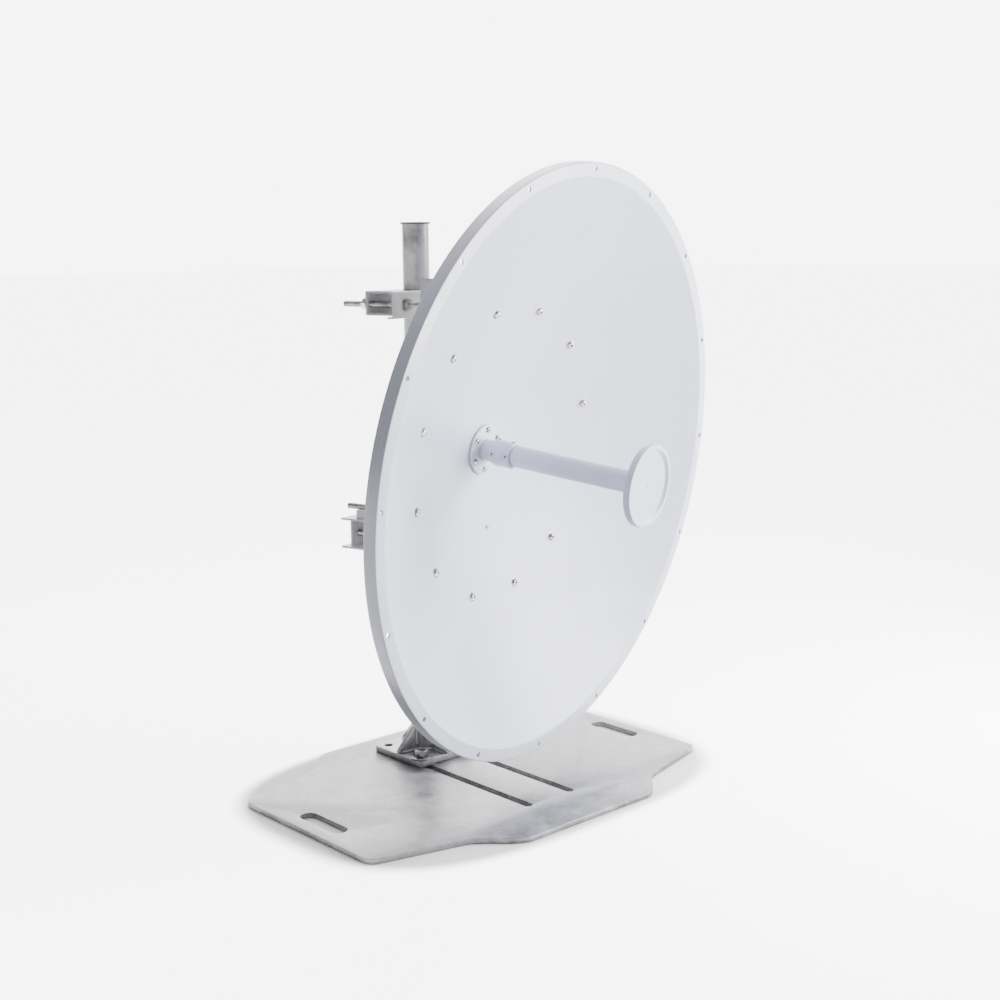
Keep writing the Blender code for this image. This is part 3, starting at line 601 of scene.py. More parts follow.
def stand_plate():
    loops = [plate_outline()]
    width, low_y, high_y = LONG_SLOT
    hole_x, hole_wide, hole_long = HAND_HOLE
    for side in (-1, 1):
        loops.append(slot_points(side * SLOT_X, low_y, high_y, width))
        loops.append(slot_points(side * hole_x, -hole_long / 2.0, hole_long / 2.0, hole_wide))
    add_piece("stand_plate", slab("stand_plate", loops, PLATE_THICK, 0.0007), WORLD, "base", PLATE_STEEL,
              replaces=["base_plate"])


def bead(name, points, radius, seed, closed=False):
    """A weld bead: a tube with ripples and an uneven width, along these points."""
    bm = bmesh.new()
    sides = 10
    rings = []
    count = len(points)
    for i, here in enumerate(points):
        last = points[i - 1] if closed or i else here
        after = points[(i + 1) % count] if closed or i < count - 1 else here
        along = (after - last).normalized()
        across = along.cross(UP).normalized() if abs(along.z) < 0.9 else along.cross(FORWARD).normalized()
        up = across.cross(along)
        wobble = 1.0 + 0.16 * noise.noise(here * 260.0 + Vector((seed, 0.0, 0.0))) + 0.09 * math.sin(i * 2.1)
        taper = 1.0 if closed else min(1.0, 0.35 + 0.65 * min(i, count - 1 - i) / 3.0)
        r = radius * wobble * taper
        rings.append([bm.verts.new(here + across * r * math.cos(a) + up * r * math.sin(a))
                      for a in (2.0 * math.pi * j / sides for j in range(sides))])
    for first, second in zip(rings, rings[1:]):
        skin(bm, first, second)
    if closed:
        skin(bm, rings[-1], rings[0])
    else:
        bm.faces.new(rings[0])
        bm.faces.new(list(reversed(rings[-1])))
    bmesh.ops.recalc_face_normals(bm, faces=bm.faces)
    return from_bmesh(name, bm)


def foot():
    low = PLATE_THICK + GAP
    bevel = 0.004
    a, b = FOOT_HALF, FOOT_HALF - bevel
    square = [(a, b), (b, a), (-b, a), (-a, b), (-a, -b), (-b, -a), (b, -a), (a, -b)]
    loops = [square] + [ring_points(0.007, 32, (x, y)) for x in (-SLOT_X, SLOT_X) for y in (-SLOT_X, SLOT_X)]
    data = slab("foot_plate", loops, FOOT_TOP - low, 0.0009)
    add_piece("foot_plate", data, STAND @ Matrix.Translation((0, 0, low)), "base", GALVANISED,
              replaces=["foot_flange"])
    inner, outer, high, thick = POLE_R + GAP, FOOT_HALF - 0.002, 0.038, 0.008
    shape = [(inner, 0.0), (outer, 0.0), (outer, 0.003), (inner + 0.004, high), (inner, high)]
    for name, quarter in (("right", 0), ("back", 1), ("left", 2), ("front", 3)):
        axes = STAND @ Matrix.Translation((0, 0, FOOT_TOP + GAP)) @ Matrix.Rotation(quarter * math.pi / 2, 4, "Z")
        plate = prism_data("gusset", shape, -thick / 2, thick / 2)
        plate.transform(Matrix.Rotation(math.pi / 2.0, 4, "X"))
        add_piece("foot_gusset_" + name, plate, axes, "base", GALVANISED, replaces=["gusset_" + name],
                  modifiers=[soft_edges(0.0006)])
        for side in (-1, 1):
            y = side * (thick / 2 + 0.0012)
            foot_line = [Vector((inner + 0.002 + i * 0.0016, y, 0.0012)) for i in range(21)]
            pole_line = [Vector((inner + 0.0010, y, 0.004 + i * 0.0016)) for i in range(20)]
            tag = "a" if side < 0 else "b"
            beads = [(bead("seam", foot_line, 0.0021, 3.0 * quarter + side), WORLD),
                     (bead("seam", pole_line, 0.0020, 5.0 * quarter + side), WORLD)]
            add_piece("gusset_weld_" + name + "_" + tag, join_data("welds", beads), axes, "base", WELD)
    ring = [Vector((x, y, 0.0010)) for x, y in ring_points(POLE_R + 0.0016, 120)]
    add_piece("pole_weld", bead("pole_weld", ring, 0.0026, 1.7, closed=True),
              STAND @ Matrix.Translation((0, 0, FOOT_TOP + GAP)), "base", WELD)


def foot_bolts():
    """Three bolts hold the foot; the back left hole is empty."""
    places = {"front_left": (-SLOT_X, -SLOT_X, 12.0), "front_right": (SLOT_X, -SLOT_X, 41.0),
              "back_right": (SLOT_X, SLOT_X, 27.0)}
    for name, (x, y, turn) in places.items():
        axes = STAND @ Matrix.Translation((x, y, FOOT_TOP + GAP)) @ spun(turn)
        add_piece("foot_washer_" + name, washer_data("washer", 0.0185, 0.0066, 0.003), axes, "base", ZINC,
                  replaces=["foot_bolt_" + name])
        add_piece("foot_nut_" + name, nut_data("nut", 0.019, 0.010, 0.0060), axes @ Matrix.Translation((0, 0, 0.003)),
                  "base", ZINC)
        shank = thread_data("thread", 0.0059, 0.00175, 0.0278, sides=24)
        add_piece("foot_thread_" + name, shank, axes @ Matrix.Translation((0, 0, 0.0110 - 0.0278)), "base", ZINC)


def pole_and_cap():
    low = FOOT_TOP + GAP
    tube = [(POLE_BORE, low), (POLE_R, low), (POLE_R, POLE_TOP), (POLE_BORE, POLE_TOP)]
    add_piece("pole_tube", lathe("pole_tube", soften(tube, 0.0005, 2), 96), STAND, "base", GALVANISED,
              replaces=["pole"])
    base = POLE_TOP + GAP
    bore = POLE_BORE - GAP
    cap = [(0.0, base + CAP_THICK), (CAP_R, base + CAP_THICK), (CAP_R, base), (bore, base), (bore, base - 0.015),
           (bore - 0.002, base - 0.015), (bore - 0.002, base - 0.002), (0.0, base - 0.002)]
    add_piece("pole_end_cap", lathe("cap", soften(cap, 0.0010, 4, closed=False), 72, closed=False), STAND,
              "base", PLASTIC, replaces=["pole_cap"])


# Pole clamps
JAW_STEEL = 0.0035
JAW_OPEN_Y = -0.004
NOTCH_REACH = (POLE_R + GAP) * math.sqrt(2.0)
FRONT_STEEL = 0.003
FRONT_INNER_Y = FRONT_FACE_Y + FRONT_STEEL
FRONT_LIP_Y = -0.0123
OVER = 0.010
UPPER_REAR = (0.7315, 0.770)
UPPER_REAR_WEB_Y = 0.048
UPPER_FRONT = (0.728, 0.770)
LOWER_REAR = (0.3555, 0.405)
LOWER_REAR_BACK_Y = 0.103
LOWER_WEB_Y = 0.0835
LOWER_FRONT = (0.355, 0.438)
LUG_Y = (0.0585, 0.0755)
LUG_TOP = 0.419


def notch_tool(low, high):
    wide = NOTCH_REACH - JAW_OPEN_Y + OVER
    return prism_data("notch", [(-wide, JAW_OPEN_Y - OVER), (wide, JAW_OPEN_Y - OVER), (0.0, NOTCH_REACH)],
                      low - OVER, high + OVER)


def rod_holes(spots, y, radius=0.0056):
    return [bar_data("hole", (side * ROD_X, y - OVER, z), (side * ROD_X, y + OVER, z), radius, 24)
            for z in spots for side in (-1, 1)]


def channel(low, high, y_open, y_web, steel, half, bend=0.0022):
    """A folded strip: two flanges and a web, as an outline in (y, z), with rounded bends."""
    way = 1.0 if y_web > y_open else -1.0
    inner_y = y_web - way * steel
    outline = [(y_open, low), (y_web, low), (y_web, high), (y_open, high),
               (y_open, high - steel), (inner_y, high - steel), (inner_y, low + steel), (y_open, low + steel)]
    rounded = []
    for index, point in enumerate(outline):
        radius = {1: bend + steel * 0.4, 2: bend + steel * 0.4, 5: bend * 0.5, 6: bend * 0.5}.get(index)
        if radius is None:
            rounded.append(point)
            continue
        before, after = outline[index - 1], outline[(index + 1) % len(outline)]
        rounded += soften([before, point, after], radius, 5, closed=False)[1:-1]
    return prism_data("channel", rounded, -half, half, axis="X")


def jaws():
    edge = [soft_edges(0.0005, 2, 40.0)]
    upper = channel(*UPPER_REAR, JAW_OPEN_Y, UPPER_REAR_WEB_Y, JAW_STEEL, UPPER_JAW_HALF)
    upper = carve(upper, [notch_tool(*UPPER_REAR)] + rod_holes([UPPER_ROD_Z], UPPER_REAR_WEB_Y - JAW_STEEL / 2))
    add_piece("upper_jaw_back", upper, MOUNT, "mast_clamp", BRACKET, replaces=["upper_rear_jaw"], modifiers=edge)
    low, high = LOWER_REAR
    wide = LOWER_JAW_HALF
    block = box_data("block", (-wide, JAW_OPEN_Y, low), (wide, LOWER_REAR_BACK_Y, high))
    hollows = [box_data("front", (-wide - OVER, JAW_OPEN_Y - OVER, low + JAW_STEEL),
                        (wide + OVER, LOWER_WEB_Y - JAW_STEEL, high - JAW_STEEL)),
               box_data("back", (-wide - OVER, LOWER_WEB_Y, low + JAW_STEEL),
                        (wide + OVER, LOWER_REAR_BACK_Y + OVER, high - JAW_STEEL))]
    lower = carve(block, hollows + [notch_tool(low, high)] + rod_holes([LOWER_TIE_Z], LOWER_WEB_Y - JAW_STEEL / 2))
    add_piece("lower_jaw_back", lower, MOUNT, "mast_clamp", BRACKET, replaces=["lower_rear_jaw"], modifiers=edge)
    pole_notch = bar_data("pole_notch", (0.0, 0.0, 0.3), (0.0, 0.0, 0.8), POLE_R + GAP, 64)
    front = channel(*UPPER_FRONT, FRONT_LIP_Y, FRONT_FACE_Y, FRONT_STEEL, FRONT_HALF)
    front = carve(front, [pole_notch] + rod_holes([UPPER_ROD_Z], FRONT_FACE_Y))
    add_piece("upper_jaw_front", front, MOUNT, "mast_clamp", BRACKET, replaces=["upper_front_jaw"], modifiers=edge)
    lower_front(edge)
    for name, side in LEFT_RIGHT:
        x = side * ROD_X
        block = box_data("lug", (x - 0.012, LUG_Y[0], LOWER_REAR[1] + GAP), (x + 0.012, LUG_Y[1], LUG_TOP))
        lug = carve(block, [bar_data("hole", (x, 0.04, LOWER_ROD_Z), (x, 0.09, LOWER_ROD_Z), 0.0053, 24)])
        add_piece("lug_" + name, lug, MOUNT, "mast_clamp", BRACKET, replaces=["lower_lug_" + name],
                  modifiers=[soft_edges(0.0008, 3)])
        seams = []
        for y in (LUG_Y[0] - 0.0010, LUG_Y[1] + 0.0010):
            seam = [Vector((x - 0.011 + 0.0016 * i, y, LOWER_REAR[1] + 0.001)) for i in range(15)]
            seams.append((bead("lug_weld", seam, 0.0018, 9.0 + side), WORLD))
        add_piece("lug_weld_" + name, join_data("lug_weld", seams), MOUNT, "mast_clamp", BRACKET)


def ear_outline(y_front, y_back, half, round_to=8):
    """The pivot ear as (y, z): square at its root and half round about the pivot in front."""
    turns = [math.pi / 2 + math.pi * i / (2 * round_to) for i in range(2 * round_to + 1)]
    reach = PIVOT.y - y_front
    nose = [(PIVOT.y + reach * math.cos(a), PIVOT.z + half * math.sin(a)) for a in turns]
    return [(y_back, PIVOT.z + half)] + nose + [(y_back, PIVOT.z - half)]


def lower_front(edge):
    pole_notch = bar_data("pole_notch", (0.0, 0.0, 0.3), (0.0, 0.0, 0.5), POLE_R + GAP, 64)
    front = channel(*LOWER_FRONT, FRONT_LIP_Y, FRONT_FACE_Y, FRONT_STEEL, FRONT_HALF)
    ears = []
    holes = []
    for side in (-1, 1):
        x = sorted((side * 0.0795, side * 0.0845))
        ears.append(prism_data("ear", ear_outline(-0.072, FRONT_FACE_Y + 0.0005, 0.020), *x, axis="X"))
        holes.append(bar_data("pivot", (x[0] - OVER, PIVOT.y, PIVOT.z), (x[1] + OVER, PIVOT.y, PIVOT.z), 0.0066, 32))
    front = carve(front, ears, "UNION")
    front = carve(front, [pole_notch] + holes + rod_holes([LOWER_ROD_Z, LOWER_TIE_Z], FRONT_FACE_Y))
    add_piece("lower_jaw_front", front, MOUNT, "mast_clamp", BRACKET, replaces=["lower_front_jaw"],
              modifiers=edge)


# Fasteners of the mount
M10 = {"flats": 0.017, "high": 0.0084, "radius": 0.0049, "pitch": 0.0015, "washer": 0.0105}


def rod(name, side_name, x, z, back_y, front_y, node, seats):
    """A threaded rod with a washer and a nut at each (y, direction) seat."""
    body = "mast_clamp"
    thread = thread_data("thread", M10["radius"], M10["pitch"], back_y - front_y)
    add_piece(name + "_" + side_name + "_thread", thread, MOUNT @ facing((x, back_y, z), FORWARD), body, ZINC,
              replaces=[node])
    for index, (seat, way) in enumerate(seats):
        tag = "_".join((name, side_name, "front" if way.y < 0 else "back"))
        axes = MOUNT @ facing((x, seat, z), way) @ spun(17.0 + 23.0 * index + 40.0 * (x > 0))
        add_piece(tag + "_washer", washer_data("washer", M10["washer"], 0.0052, 0.0016), axes, body, ZINC)
        add_piece(tag + "_nut", nut_data("nut", M10["flats"], M10["high"], 0.0048),
                  axes @ Matrix.Translation((0, 0, 0.0017)), body, ZINC)


def rods():
    front_seat = (FRONT_FACE_Y - GAP, FORWARD)
    head = soften([(0.0, 0.0), (0.0104, 0.0), (0.0100, 0.0016), (0.0075, 0.0034), (0.0, 0.0039)], 0.002, 4,
                  closed=False)
    for name, side in LEFT_RIGHT:
        x = side * ROD_X
        rod("upper_rod", name, x, UPPER_ROD_Z, 0.098, -0.121, "upper_rod_" + name,
            [front_seat, (UPPER_REAR_WEB_Y + GAP, BACK)])
        rod("lower_rod", name, x, LOWER_ROD_Z, 0.101, -0.040, "lower_rod_" + name, [front_seat])
        tie_seat = LOWER_WEB_Y + GAP
        rod("lower_tie", name, x, LOWER_TIE_Z, tie_seat + 0.001, -0.040, "lower_tie_" + name, [front_seat])
        add_piece("lower_tie_head_" + name, lathe("head", head, 40, closed=False),
                  MOUNT @ facing((x, tie_seat, LOWER_TIE_Z), BACK), "mast_clamp", ZINC)


def pivots():
    for name, side in LEFT_RIGHT:
        outward = Vector((side, 0.0, 0.0))
        tail = thread_data("thread", 0.0059, 0.00175, 0.030, sides=24)
        start = PIVOT + Vector((side * 0.0690, 0.0, 0.0))
        add_piece("pivot_thread_" + name, tail, MOUNT @ facing(start, outward), "mast_clamp", ZINC,
                  replaces=["pivot_bolt_" + name])
        head_at = PIVOT + Vector((side * 0.0910, 0.0, 0.0))
        add_piece("pivot_head_" + name, nut_data("head", 0.019, 0.0070, 0.0, both_ends=False),
                  MOUNT @ facing(head_at, outward) @ spun(11.0), "mast_clamp", ZINC)
        nut_at = PIVOT + Vector((side * 0.0792, 0.0, 0.0))
        add_piece("pivot_nut_" + name, nut_data("nut", 0.019, 0.0085, 0.0058),
                  MOUNT @ facing(nut_at, -outward) @ spun(23.0), "mast_clamp", ZINC)


# Elevation nuts
WEB_DEPTH = (0.2275, 0.2315)
NUT_GAP = 0.0020


def web_forward(depth):
    rise = UPPER_ROD_Z - RIM_CENTRE.z
    return -RIM_CENTRE.y + (rise * math.sin(TILT) - depth) / math.cos(TILT)


def elevation_nuts():
    dome = [(0.0053, 0.0), (0.0080, 0.0), (M10["washer"], 0.0040), (0.0053, 0.0040)]
    for end_name, tip, way in (("rear", web_forward(WEB_DEPTH[1]) - NUT_GAP, BACK),
                               ("front", web_forward(WEB_DEPTH[0]) + NUT_GAP, FORWARD)):
        for side_name, side in LEFT_RIGHT:
            label = end_name + "_" + side_name
            axes = MOUNT @ facing((side * ROD_X, -tip, UPPER_ROD_Z), way) @ spun(9.0 + 31.0 * (side > 0))
            pieces = [(lathe("dome", soften(dome, 0.0009, 4), 40), WORLD),
                      (nut_data("nut", M10["flats"], M10["high"], 0.0053), Matrix.Translation((0, 0, 0.0040)))]
            add_piece("tilt_nut_" + label, join_data("tilt_nut", pieces), axes, "elevation_nuts", ZINC,
                      replaces=["elevation_nut_" + label])


# Reflector
BOWL_FILLET = 0.007
LONE_SCREW = (175.5, 0.127)               # degrees from the top, and metres from the middle


def bowl_depth(radius):
    return BOWL_DEEP - radius ** 2 / (4.0 * FOCUS)


def bowl_front(radius):
    return (radius, -bowl_depth(radius))


def bowl_back(radius):
    slope = radius / (2.0 * FOCUS)
    length = math.hypot(1.0, slope)
    return (radius + SHEET * slope / length, -bowl_depth(radius) - SHEET / length)


def dish_point(angle_deg, radius, depth):
    """A point in the turned dish's axes: the angle runs from the top towards the right of the front."""
    a = math.radians(angle_deg)
    return Vector((radius * math.sin(a), radius * math.cos(a), -depth))


def bowl_normal(place):
    radius = math.hypot(place.x, place.y)
    slope = radius / (2.0 * FOCUS)
    out = Vector((place.x, place.y, 0.0)).normalized() if radius > 0 else Vector((0, 0, 0))
    return (UP - out * slope).normalized()


def reflector():
    steps = 44
    hole = 0.030
    reach = 0.016
    radii = [hole + (BOWL_R - reach - hole) * i / steps for i in range(steps + 1)]
    front = [bowl_front(r) for r in radii]
    bend = soften([front[-1], (BOWL_R, 0.0), (BOWL_R + reach, 0.0)], BOWL_FILLET, 10, closed=False)
    inner = RIM_R - SHEET
    rim = soften([(BOWL_R + reach, 0.0), (RIM_R, 0.0), (RIM_R, -SKIRT_DEEP), (inner, -SKIRT_DEEP),
                  (inner, -SHEET), (BOWL_R + reach, -SHEET)], 0.0020, 5, closed=False)
    back = [bowl_back(r) for r in reversed(radii)]
    bend_back = soften([(BOWL_R + reach, -SHEET), (BOWL_R + 0.001, -SHEET), back[0]], BOWL_FILLET, 8,
                       closed=False)
    outline = front[:-1] + bend[:-1] + rim[:-1] + bend_back + back[1:]
    data = lathe("dish", outline, 192)
    holes = []
    for i in range(16):
        spot = dish_point(22.5 * i, RIM_HOLE_CIRCLE, 0.0)
        holes.append(bar_data("hole", spot - UP * OVER, spot + UP * OVER, 0.0040, 24))
    data = carve(data, holes)
    add_piece("dish_shell", data, TURNED, "antenna", WHITE, replaces=["reflector"], crease=32.0)


def dish_screws():
    """Twelve socket screws hold the ring behind; one small screw sits alone below the feed."""
    head = button_head_data("head", 0.0064, 0.0042, 0.0042, 0.0026)
    washer = washer_data("washer", 0.0078, 0.0034, 0.0009)
    for i in range(12):
        spot = dish_point(15.0 + 30.0 * i, RING_SCREW_CIRCLE, bowl_depth(RING_SCREW_CIRCLE))
        axes = TURNED @ facing(spot, bowl_normal(spot)) @ spun(19.0 * i)
        pieces = [(washer, Matrix.Translation((0, 0, -0.0003))), (head, Matrix.Translation((0, 0, 0.0005)))]
        add_piece("ring_screw_%02d" % (i + 1), join_data("screw", pieces), axes, "antenna", STAINLESS)
    spot = dish_point(LONE_SCREW[0], LONE_SCREW[1], bowl_depth(LONE_SCREW[1]))
    lone = button_head_data("lone", 0.0035, 0.0022, 0.0022, 0.0013)
    add_piece("lone_screw", lone, TURNED @ facing(spot, bowl_normal(spot)), "antenna", STAINLESS)


# Feed
FLANGE_R = 0.040
FLANGE_BACK = BOWL_DEEP - FLANGE_R ** 2 / (4.0 * FOCUS) - GAP
FLANGE_FRONT = FLANGE_BACK - 0.004
FEED_SCREW_CIRCLE = 0.032
TUBE_R = 0.0170
TUBE_BORE = 0.0145
COLLAR_R = 0.0205
COLLAR_START = 0.020
COLLAR_LONG = 0.035
SUB_R = 0.062
SUB_THICK = 0.011
SUB_RECESS = 0.004


def feed():
    flange = [(0.0, -FLANGE_FRONT), (FLANGE_R, -FLANGE_FRONT), (FLANGE_R, -FLANGE_BACK), (0.0, -FLANGE_BACK)]
    add_piece("feed_base_flange", lathe("flange", soften(flange, 0.0009, 3, closed=False), 96, closed=False),
              TURNED, "antenna", WHITE, replaces=["feed_flange"])
    head = button_head_data("head", 0.0048, 0.0030, 0.0032, 0.0018)
    for i in range(6):
        spot = dish_point(60.0 * i, FEED_SCREW_CIRCLE, FLANGE_FRONT)
        add_piece("feed_screw_%d" % (i + 1), head.copy(), TURNED @ facing(spot, UP) @ spun(13.0 * i), "antenna",
                  STAINLESS)
    start, finish = -FLANGE_FRONT + GAP, SUB_FRONT - SUB_THICK - GAP
    tube = [(TUBE_BORE, start), (TUBE_R, start), (TUBE_R, finish), (TUBE_BORE, finish)]
    add_piece("feed_pipe", lathe("pipe", soften(tube, 0.0004, 2), 72), TURNED, "antenna", WHITE,
              replaces=["feed_tube"])
    collar()
    sub_reflector()


def collar():
    start = -FLANGE_FRONT + COLLAR_START
    finish = start + COLLAR_LONG
    bore = TUBE_R + GAP
    ring = [(bore, start), (COLLAR_R, start), (COLLAR_R, finish), (bore, finish)]
    data = lathe("collar", soften(ring, 0.0010, 3), 72)
    cuts = []
    for angle in (0.0, 90.0, 180.0, 270.0):
        for z in (start + 0.0095, finish - 0.0095):
            a = math.radians(angle)
            out = Vector((math.sin(a), math.cos(a), 0.0))
            across = Vector((math.cos(a), -math.sin(a), 0.0))
            centre = out * COLLAR_R + UP * z
            cuts.append(bar_data("slot", centre - across * 0.007, centre + across * 0.007, 0.0016, 12))
    data = carve(data, cuts)
    add_piece("feed_collar_ring", data, TURNED, "antenna", WHITE, replaces=["feed_collar"])
    head = button_head_data("head", 0.0029, 0.0018, 0.0020, 0.0011)
    index = 0
    for angle in (0.0, 90.0, 180.0, 270.0):
        for z in (start + 0.005, finish - 0.005):
            index += 1
            a = math.radians(angle)
            out = Vector((math.sin(a), math.cos(a), 0.0))
            add_piece("collar_screw_%d" % index, head.copy(),
                      TURNED @ facing(out * (COLLAR_R - 0.0003) + UP * z, out), "antenna", STAINLESS)


def sub_reflector():
    back = SUB_FRONT - SUB_THICK
    floor = SUB_FRONT - SUB_RECESS
    profile = [(0.0, floor), (SUB_R - 0.0100, floor), (SUB_R - 0.0050, SUB_FRONT), (SUB_R, SUB_FRONT),
               (SUB_R, back), (0.0, back)]
    add_piece("sub_reflector_disc", lathe("disc", soften(profile, 0.0012, 4, closed=False), 96, closed=False),
              TURNED, "antenna", WHITE, replaces=["sub_reflector"])
    dot = button_head_data("dot", 0.0030, 0.0010, 0.0016, 0.0006)
    add_piece("sub_reflector_screw", dot, TURNED @ Matrix.Translation((0, 0, floor)), "antenna", WHITE)


# Back of the dish
RING_IN = 0.2164
RING_OUT = 0.2404
RING_STEEL = 0.003
RING_BACK = 0.160
RING_LIP_R = 0.205
TAB_X = (0.0885, 0.116)
TAB_Z = (0.165, 0.205)
BRACKET_X = (0.0865, 0.0905)


def ring_and_nuts():
    def seat(radius):
        slope = radius / (2.0 * FOCUS)
        return -bowl_depth(radius) - SHEET * math.hypot(1.0, slope) - 0.0004

    lip, wall = RING_BACK - RING_STEEL, RING_OUT - RING_STEEL
    profile = [(RING_IN, seat(RING_IN)), (RING_OUT, seat(RING_OUT)), (RING_OUT, -RING_BACK),
               (RING_LIP_R, -RING_BACK), (RING_LIP_R, -lip), (wall, -lip),
               (wall, seat(wall) - RING_STEEL), (RING_IN, seat(RING_IN) - RING_STEEL)]
    add_piece("mounting_ring", lathe("ring", soften(profile, 0.0010, 3), 144), TURNED, "antenna", BRACKET,
              replaces=["back_ring"])
    nut = nut_data("nut", 0.010, 0.0050, 0.0030)
    tail = thread_data("tail", 0.0029, 0.0010, 0.012, sides=16)
    for i in range(12):
        spot = dish_point(15.0 + 30.0 * i, RING_SCREW_CIRCLE, 0.0)
        spot.z = seat(RING_SCREW_CIRCLE) - RING_STEEL - 0.0004
        axes = TURNED @ facing(spot, -bowl_normal(spot)) @ spun(27.0 * i)
        pieces = [(nut, WORLD), (tail, Matrix.Translation((0, 0, -0.0045)))]
        add_piece("ring_nut_%02d" % (i + 1), join_data("ring_nut", pieces), axes, "antenna", ZINC)


def in_dish(y, z):
    back, rise = y - RIM_CENTRE.y, z - RIM_CENTRE.z
    return (back * math.cos(TILT) + rise * math.sin(TILT), -back * math.sin(TILT) + rise * math.cos(TILT))


def bracket():
    front, middle = RING_BACK + GAP, sum(BRACKET_X) / 2.0
    top, low = 0.262, -0.235
    web = box_data("web", (-middle, WEB_DEPTH[0], -0.073), (middle, WEB_DEPTH[1], top - 0.002))
    outline = [(front, low), (0.175, low), (0.220, -0.170), (0.220, -0.088), (0.2317, -0.075),
               (0.2317, top), (front, top)]
    outline = soften(outline, 0.006, 4)
    pivot_depth, pivot_height = in_dish(PIVOT.y, PIVOT.z)
    slot_height = in_dish(-web_forward(WEB_DEPTH[1]), UPPER_ROD_Z)[1]
    grown, cuts = [], []
    for side in (-1, 1):
        x = sorted((side * BRACKET_X[0], side * BRACKET_X[1]))
        grown.append(prism_data("side", outline, *x, axis="X"))
        tab_x = sorted((side * middle, side * TAB_X[1]))
        for z in ((-TAB_Z[1], -TAB_Z[0]), TAB_Z):
            grown.append(box_data("tab", (tab_x[0], front + GAP, z[0]), (tab_x[1], front + GAP + 0.004, z[1])))
        cuts.append(bar_data("pivot", (side * 0.07, pivot_depth, pivot_height),
                             (side * 0.10, pivot_depth, pivot_height), 0.0066, 32))
        rod_x = side * ROD_X
        slot = slot_points(rod_x, slot_height - 0.011, slot_height + 0.012, 0.013, 8)
        tool = prism_data("slot", slot, 0.0, 0.02)
        tool.transform(Matrix.Translation((0.0, 0.24, 0.0)) @ Matrix.Rotation(math.pi / 2.0, 4, "X"))
        cuts.append(tool)
    cuts.append(bar_data("window", (0.0, 0.22, 0.02), (0.0, 0.24, 0.02), 0.040, 64))
    data = carve(carve(web, grown, "UNION"), cuts)
    add_piece("tilt_bracket", data, DISH, "antenna", BRACKET, replaces=["back_bracket"],
              modifiers=[soft_edges(0.0006, 2, 40.0)])
    head = nut_data("head", 0.013, 0.0053, 0.0, both_ends=False)
    washer = washer_data("washer", 0.0085, 0.0044, 0.0016)
    for side_name, side in LEFT_RIGHT:
        for level, z in (("upper", 0.185), ("lower", -0.185)):
            spot = (side * 0.104, front + GAP + 0.0042, z)
            pieces = [(washer, WORLD), (head, Matrix.Translation((0, 0, 0.0017)))]
            add_piece("tab_bolt_" + level + "_" + side_name, join_data("tab_bolt", pieces),
                      DISH @ facing(spot, BACK) @ spun(15.0 + 40.0 * side), "antenna", ZINC)


def hub_and_guide():
    front = BOWL_DEEP - 0.030 ** 2 / (4.0 * FOCUS) + SHEET + GAP
    hub = [(0.0, -front), (0.045, -front), (0.045, -0.166), (0.028, -0.170), (0.028, -0.195), (0.0, -0.195)]
    add_piece("feed_hub_body", lathe("hub", soften(hub, 0.0010, 3, closed=False), 96, closed=False), TURNED,
              "antenna", ALLOY, replaces=["feed_hub"])
    head = button_head_data("head", 0.0042, 0.0028, 0.0030, 0.0016)
    for i in range(6):
        spot = dish_point(30.0 + 60.0 * i, 0.0375, 0.1662)
        add_piece("hub_screw_%d" % (i + 1), head.copy(), TURNED @ facing(spot, DOWN) @ spun(21.0 * i), "antenna",
                  STAINLESS)
    half, near, far, top, low, wall = 0.0190, 0.1953, 0.2150, 0.024, -0.052, 0.002
    guide = box_data("guide", (-half, near, low), (half, far, top))
    guide = carve(guide, [box_data("bore", (-half + wall, near + wall, low - OVER), (half - wall, far - wall, top - wall))])
    add_piece("waveguide_box", guide, DISH, "antenna", ALLOY, replaces=["waveguide"],
              modifiers=[soft_edges(0.0008, 3)])
    plate_top = low - GAP
    plate = box_data("plate", (-half - 0.012, near - 0.010, plate_top - 0.006), (half + 0.012, far + 0.010, plate_top))
    cuts = [box_data("mouth", (-half + wall, near + wall, plate_top - 0.02), (half - wall, far - wall, plate_top + OVER))]
    middle = (near + far) / 2.0
    for x in (-0.0255, 0.0255):
        for y in (middle - 0.0145, middle + 0.0145):
            cuts.append(bar_data("hole", (x, y, plate_top - 0.02), (x, y, plate_top + OVER), 0.0021, 20))
    add_piece("waveguide_plate", carve(plate, cuts), DISH, "antenna", ALLOY, replaces=["waveguide_flange"],
              modifiers=[soft_edges(0.0006, 2)])


stand_plate()
foot()
foot_bolts()
pole_and_cap()
jaws()
rods()
pivots()
elevation_nuts()
reflector()
dish_screws()
feed()
ring_and_nuts()
bracket()
hub_and_guide()


# Camera, floor and light
CAMERA_PLACE = Vector((-1.51828, -1.75496, 0.84529))
LOOK = Vector((0.67856, 0.72044, -0.14325))
CAMERA_RIGHT = Vector((0.72709, -0.68649, -0.00833))


def camera():
    data = bpy.data.cameras.new("camera")
    data.lens = 54.5
    data.sensor_width = 36.0
    data.shift_x = -0.04
    data.shift_y = -0.04
    data.clip_start = 0.05
    data.clip_end = 60.0
    made = bpy.data.objects.new("camera", data)
    bpy.context.scene.collection.objects.link(made)
    look = LOOK.normalized()
    right = (CAMERA_RIGHT - look * CAMERA_RIGHT.dot(look)).normalized()
    up = right.cross(look)
    turn = Matrix((right, up, -look)).transposed().to_4x4()
    made.matrix_world = Matrix.Translation(CAMERA_PLACE) @ turn
    bpy.context.scene.camera = made


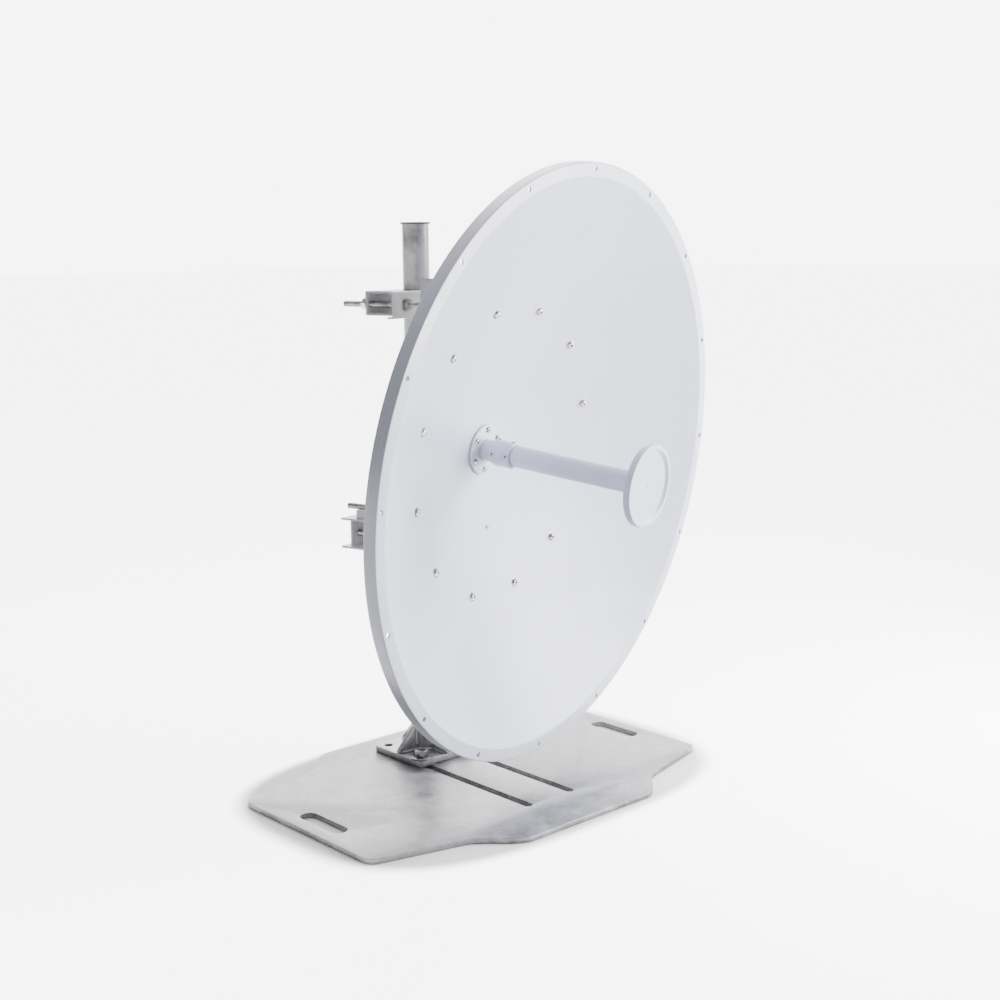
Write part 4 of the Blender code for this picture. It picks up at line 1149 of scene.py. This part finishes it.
def glow_with_painted_plate_shadow(surface):
    """The floor's glow, which fades out under and just round the stand plate: a painted shadow under the plate, in its
    slots and along its edges.
    """
    split = surface.node("ShaderNodeSeparateXYZ")
    surface.link(surface.place, split.inputs["Vector"])
    powers = []
    for axis, reach in (("X", 0.385), ("Y", 0.275)):
        size = surface.sum(surface.sum(split.outputs[axis], reach, "DIVIDE"), 0.0)
        size = surface.sum(surface.sum(size, size, "MULTIPLY"), 1.5, "POWER")
        powers.append(size)
    return surface.spread(surface.sum(*powers), 0.0, FLOOR_GLOW, 0.78, 1.10)


def floor():
    """A lit pale sweep under the stand. It sends no light of its own up onto the dish."""
    half = 40.0
    data = prism_data("floor", [(half, half), (-half, half), (-half, -half), (half, -half)], -0.02, -0.0005)
    made = bpy.data.objects.new("floor", data)
    bpy.context.scene.collection.objects.link(made)
    made_surface = Surface("floor_paper", 0.0, 0.7, Specular_IOR_Level=0.0)
    made_surface.shader.inputs["Emission Color"].default_value = (1.0, 1.0, 1.0, 1.0)
    # Painted shadow: the floor's glow fades out under and round the stand plate, so its slots and edges look shaded
    made_surface.link(glow_with_painted_plate_shadow(made_surface), made_surface.shader.inputs["Emission Strength"])
    cloud = made_surface.noise(3.0, 2.0, 0.5)
    tint = made_surface.blend(made_surface.spread(cloud, 0.0, 1.0), (0.84, 0.84, 0.845), (0.86, 0.86, 0.86))
    data.materials.append(made_surface.finish(tint, made_surface.spread(cloud, 0.62, 0.75)))
    made.visible_diffuse = False


def area_light(name, place, aim, size, power, colour=(1.0, 1.0, 1.0)):
    data = bpy.data.lights.new(name, "AREA")
    data.shape = "RECTANGLE"
    data.size, data.size_y = size
    data.energy = power
    data.color = colour
    made = bpy.data.objects.new(name, data)
    bpy.context.scene.collection.objects.link(made)
    made.location = place
    made.rotation_euler = (Vector(place) - Vector(aim)).to_track_quat("Z", "Y").to_euler()
    made.visible_camera = False


# How bright the studio is towards its back wall, its ceiling and its right-hand side
STUDIO = (("back", (0.686, 0.727, 0.0), 0.60, 0.92, 6.8),
          ("ceiling", (0.15, 0.10, 0.98), 0.30, 0.95, 0.9),
          ("right", (0.727, -0.686, 0.25), 0.40, 0.95, 0.5))
STUDIO_FILL = 0.22
FLOOR_GLOW = 5.2
KEY_HEIGHT = 0.95                         # ahead of the rim plane
KEY_ASIDE = 0.90                          # off the dish's axis
KEY_TURN = 68.0                           # degrees from the top


def lights():
    world = bpy.data.worlds.new("studio")
    world.use_nodes = True
    tree = world.node_tree
    backdrop = tree.nodes["Background"]
    backdrop.inputs["Color"].default_value = (0.99, 0.99, 1.0, 1.0)
    looking = tree.nodes.new("ShaderNodeTexCoord").outputs["Generated"]
    total = None
    for _, direction, start, end, strength in STUDIO:
        dot = tree.nodes.new("ShaderNodeVectorMath")
        dot.operation = "DOT_PRODUCT"
        dot.inputs[1].default_value = Vector(direction).normalized()
        tree.links.new(looking, dot.inputs[0])
        ease = tree.nodes.new("ShaderNodeMapRange")
        ease.interpolation_type = "SMOOTHSTEP"
        for socket, value in (("From Min", start), ("From Max", end), ("To Min", 0.0), ("To Max", strength)):
            ease.inputs[socket].default_value = value
        tree.links.new(dot.outputs["Value"], ease.inputs["Value"])
        add = tree.nodes.new("ShaderNodeMath")
        add.inputs[0].default_value = STUDIO_FILL
        if total is not None:
            tree.links.new(total, add.inputs[0])
        tree.links.new(ease.outputs["Result"], add.inputs[1])
        total = add.outputs["Value"]
    tree.links.new(total, backdrop.inputs["Strength"])
    bpy.context.scene.world = world
    key = TURNED @ dish_point(KEY_TURN, KEY_ASIDE, -KEY_HEIGHT)
    area_light("key", key, TURNED @ Vector((0.0, 0.0, -0.1)), (0.85, 0.85), 66.0)
    area_light("top", (0.9, 0.6, 2.6), (0.0, 0.0, 0.3), (1.6, 1.6), 60.0)


camera()
floor()
lights()
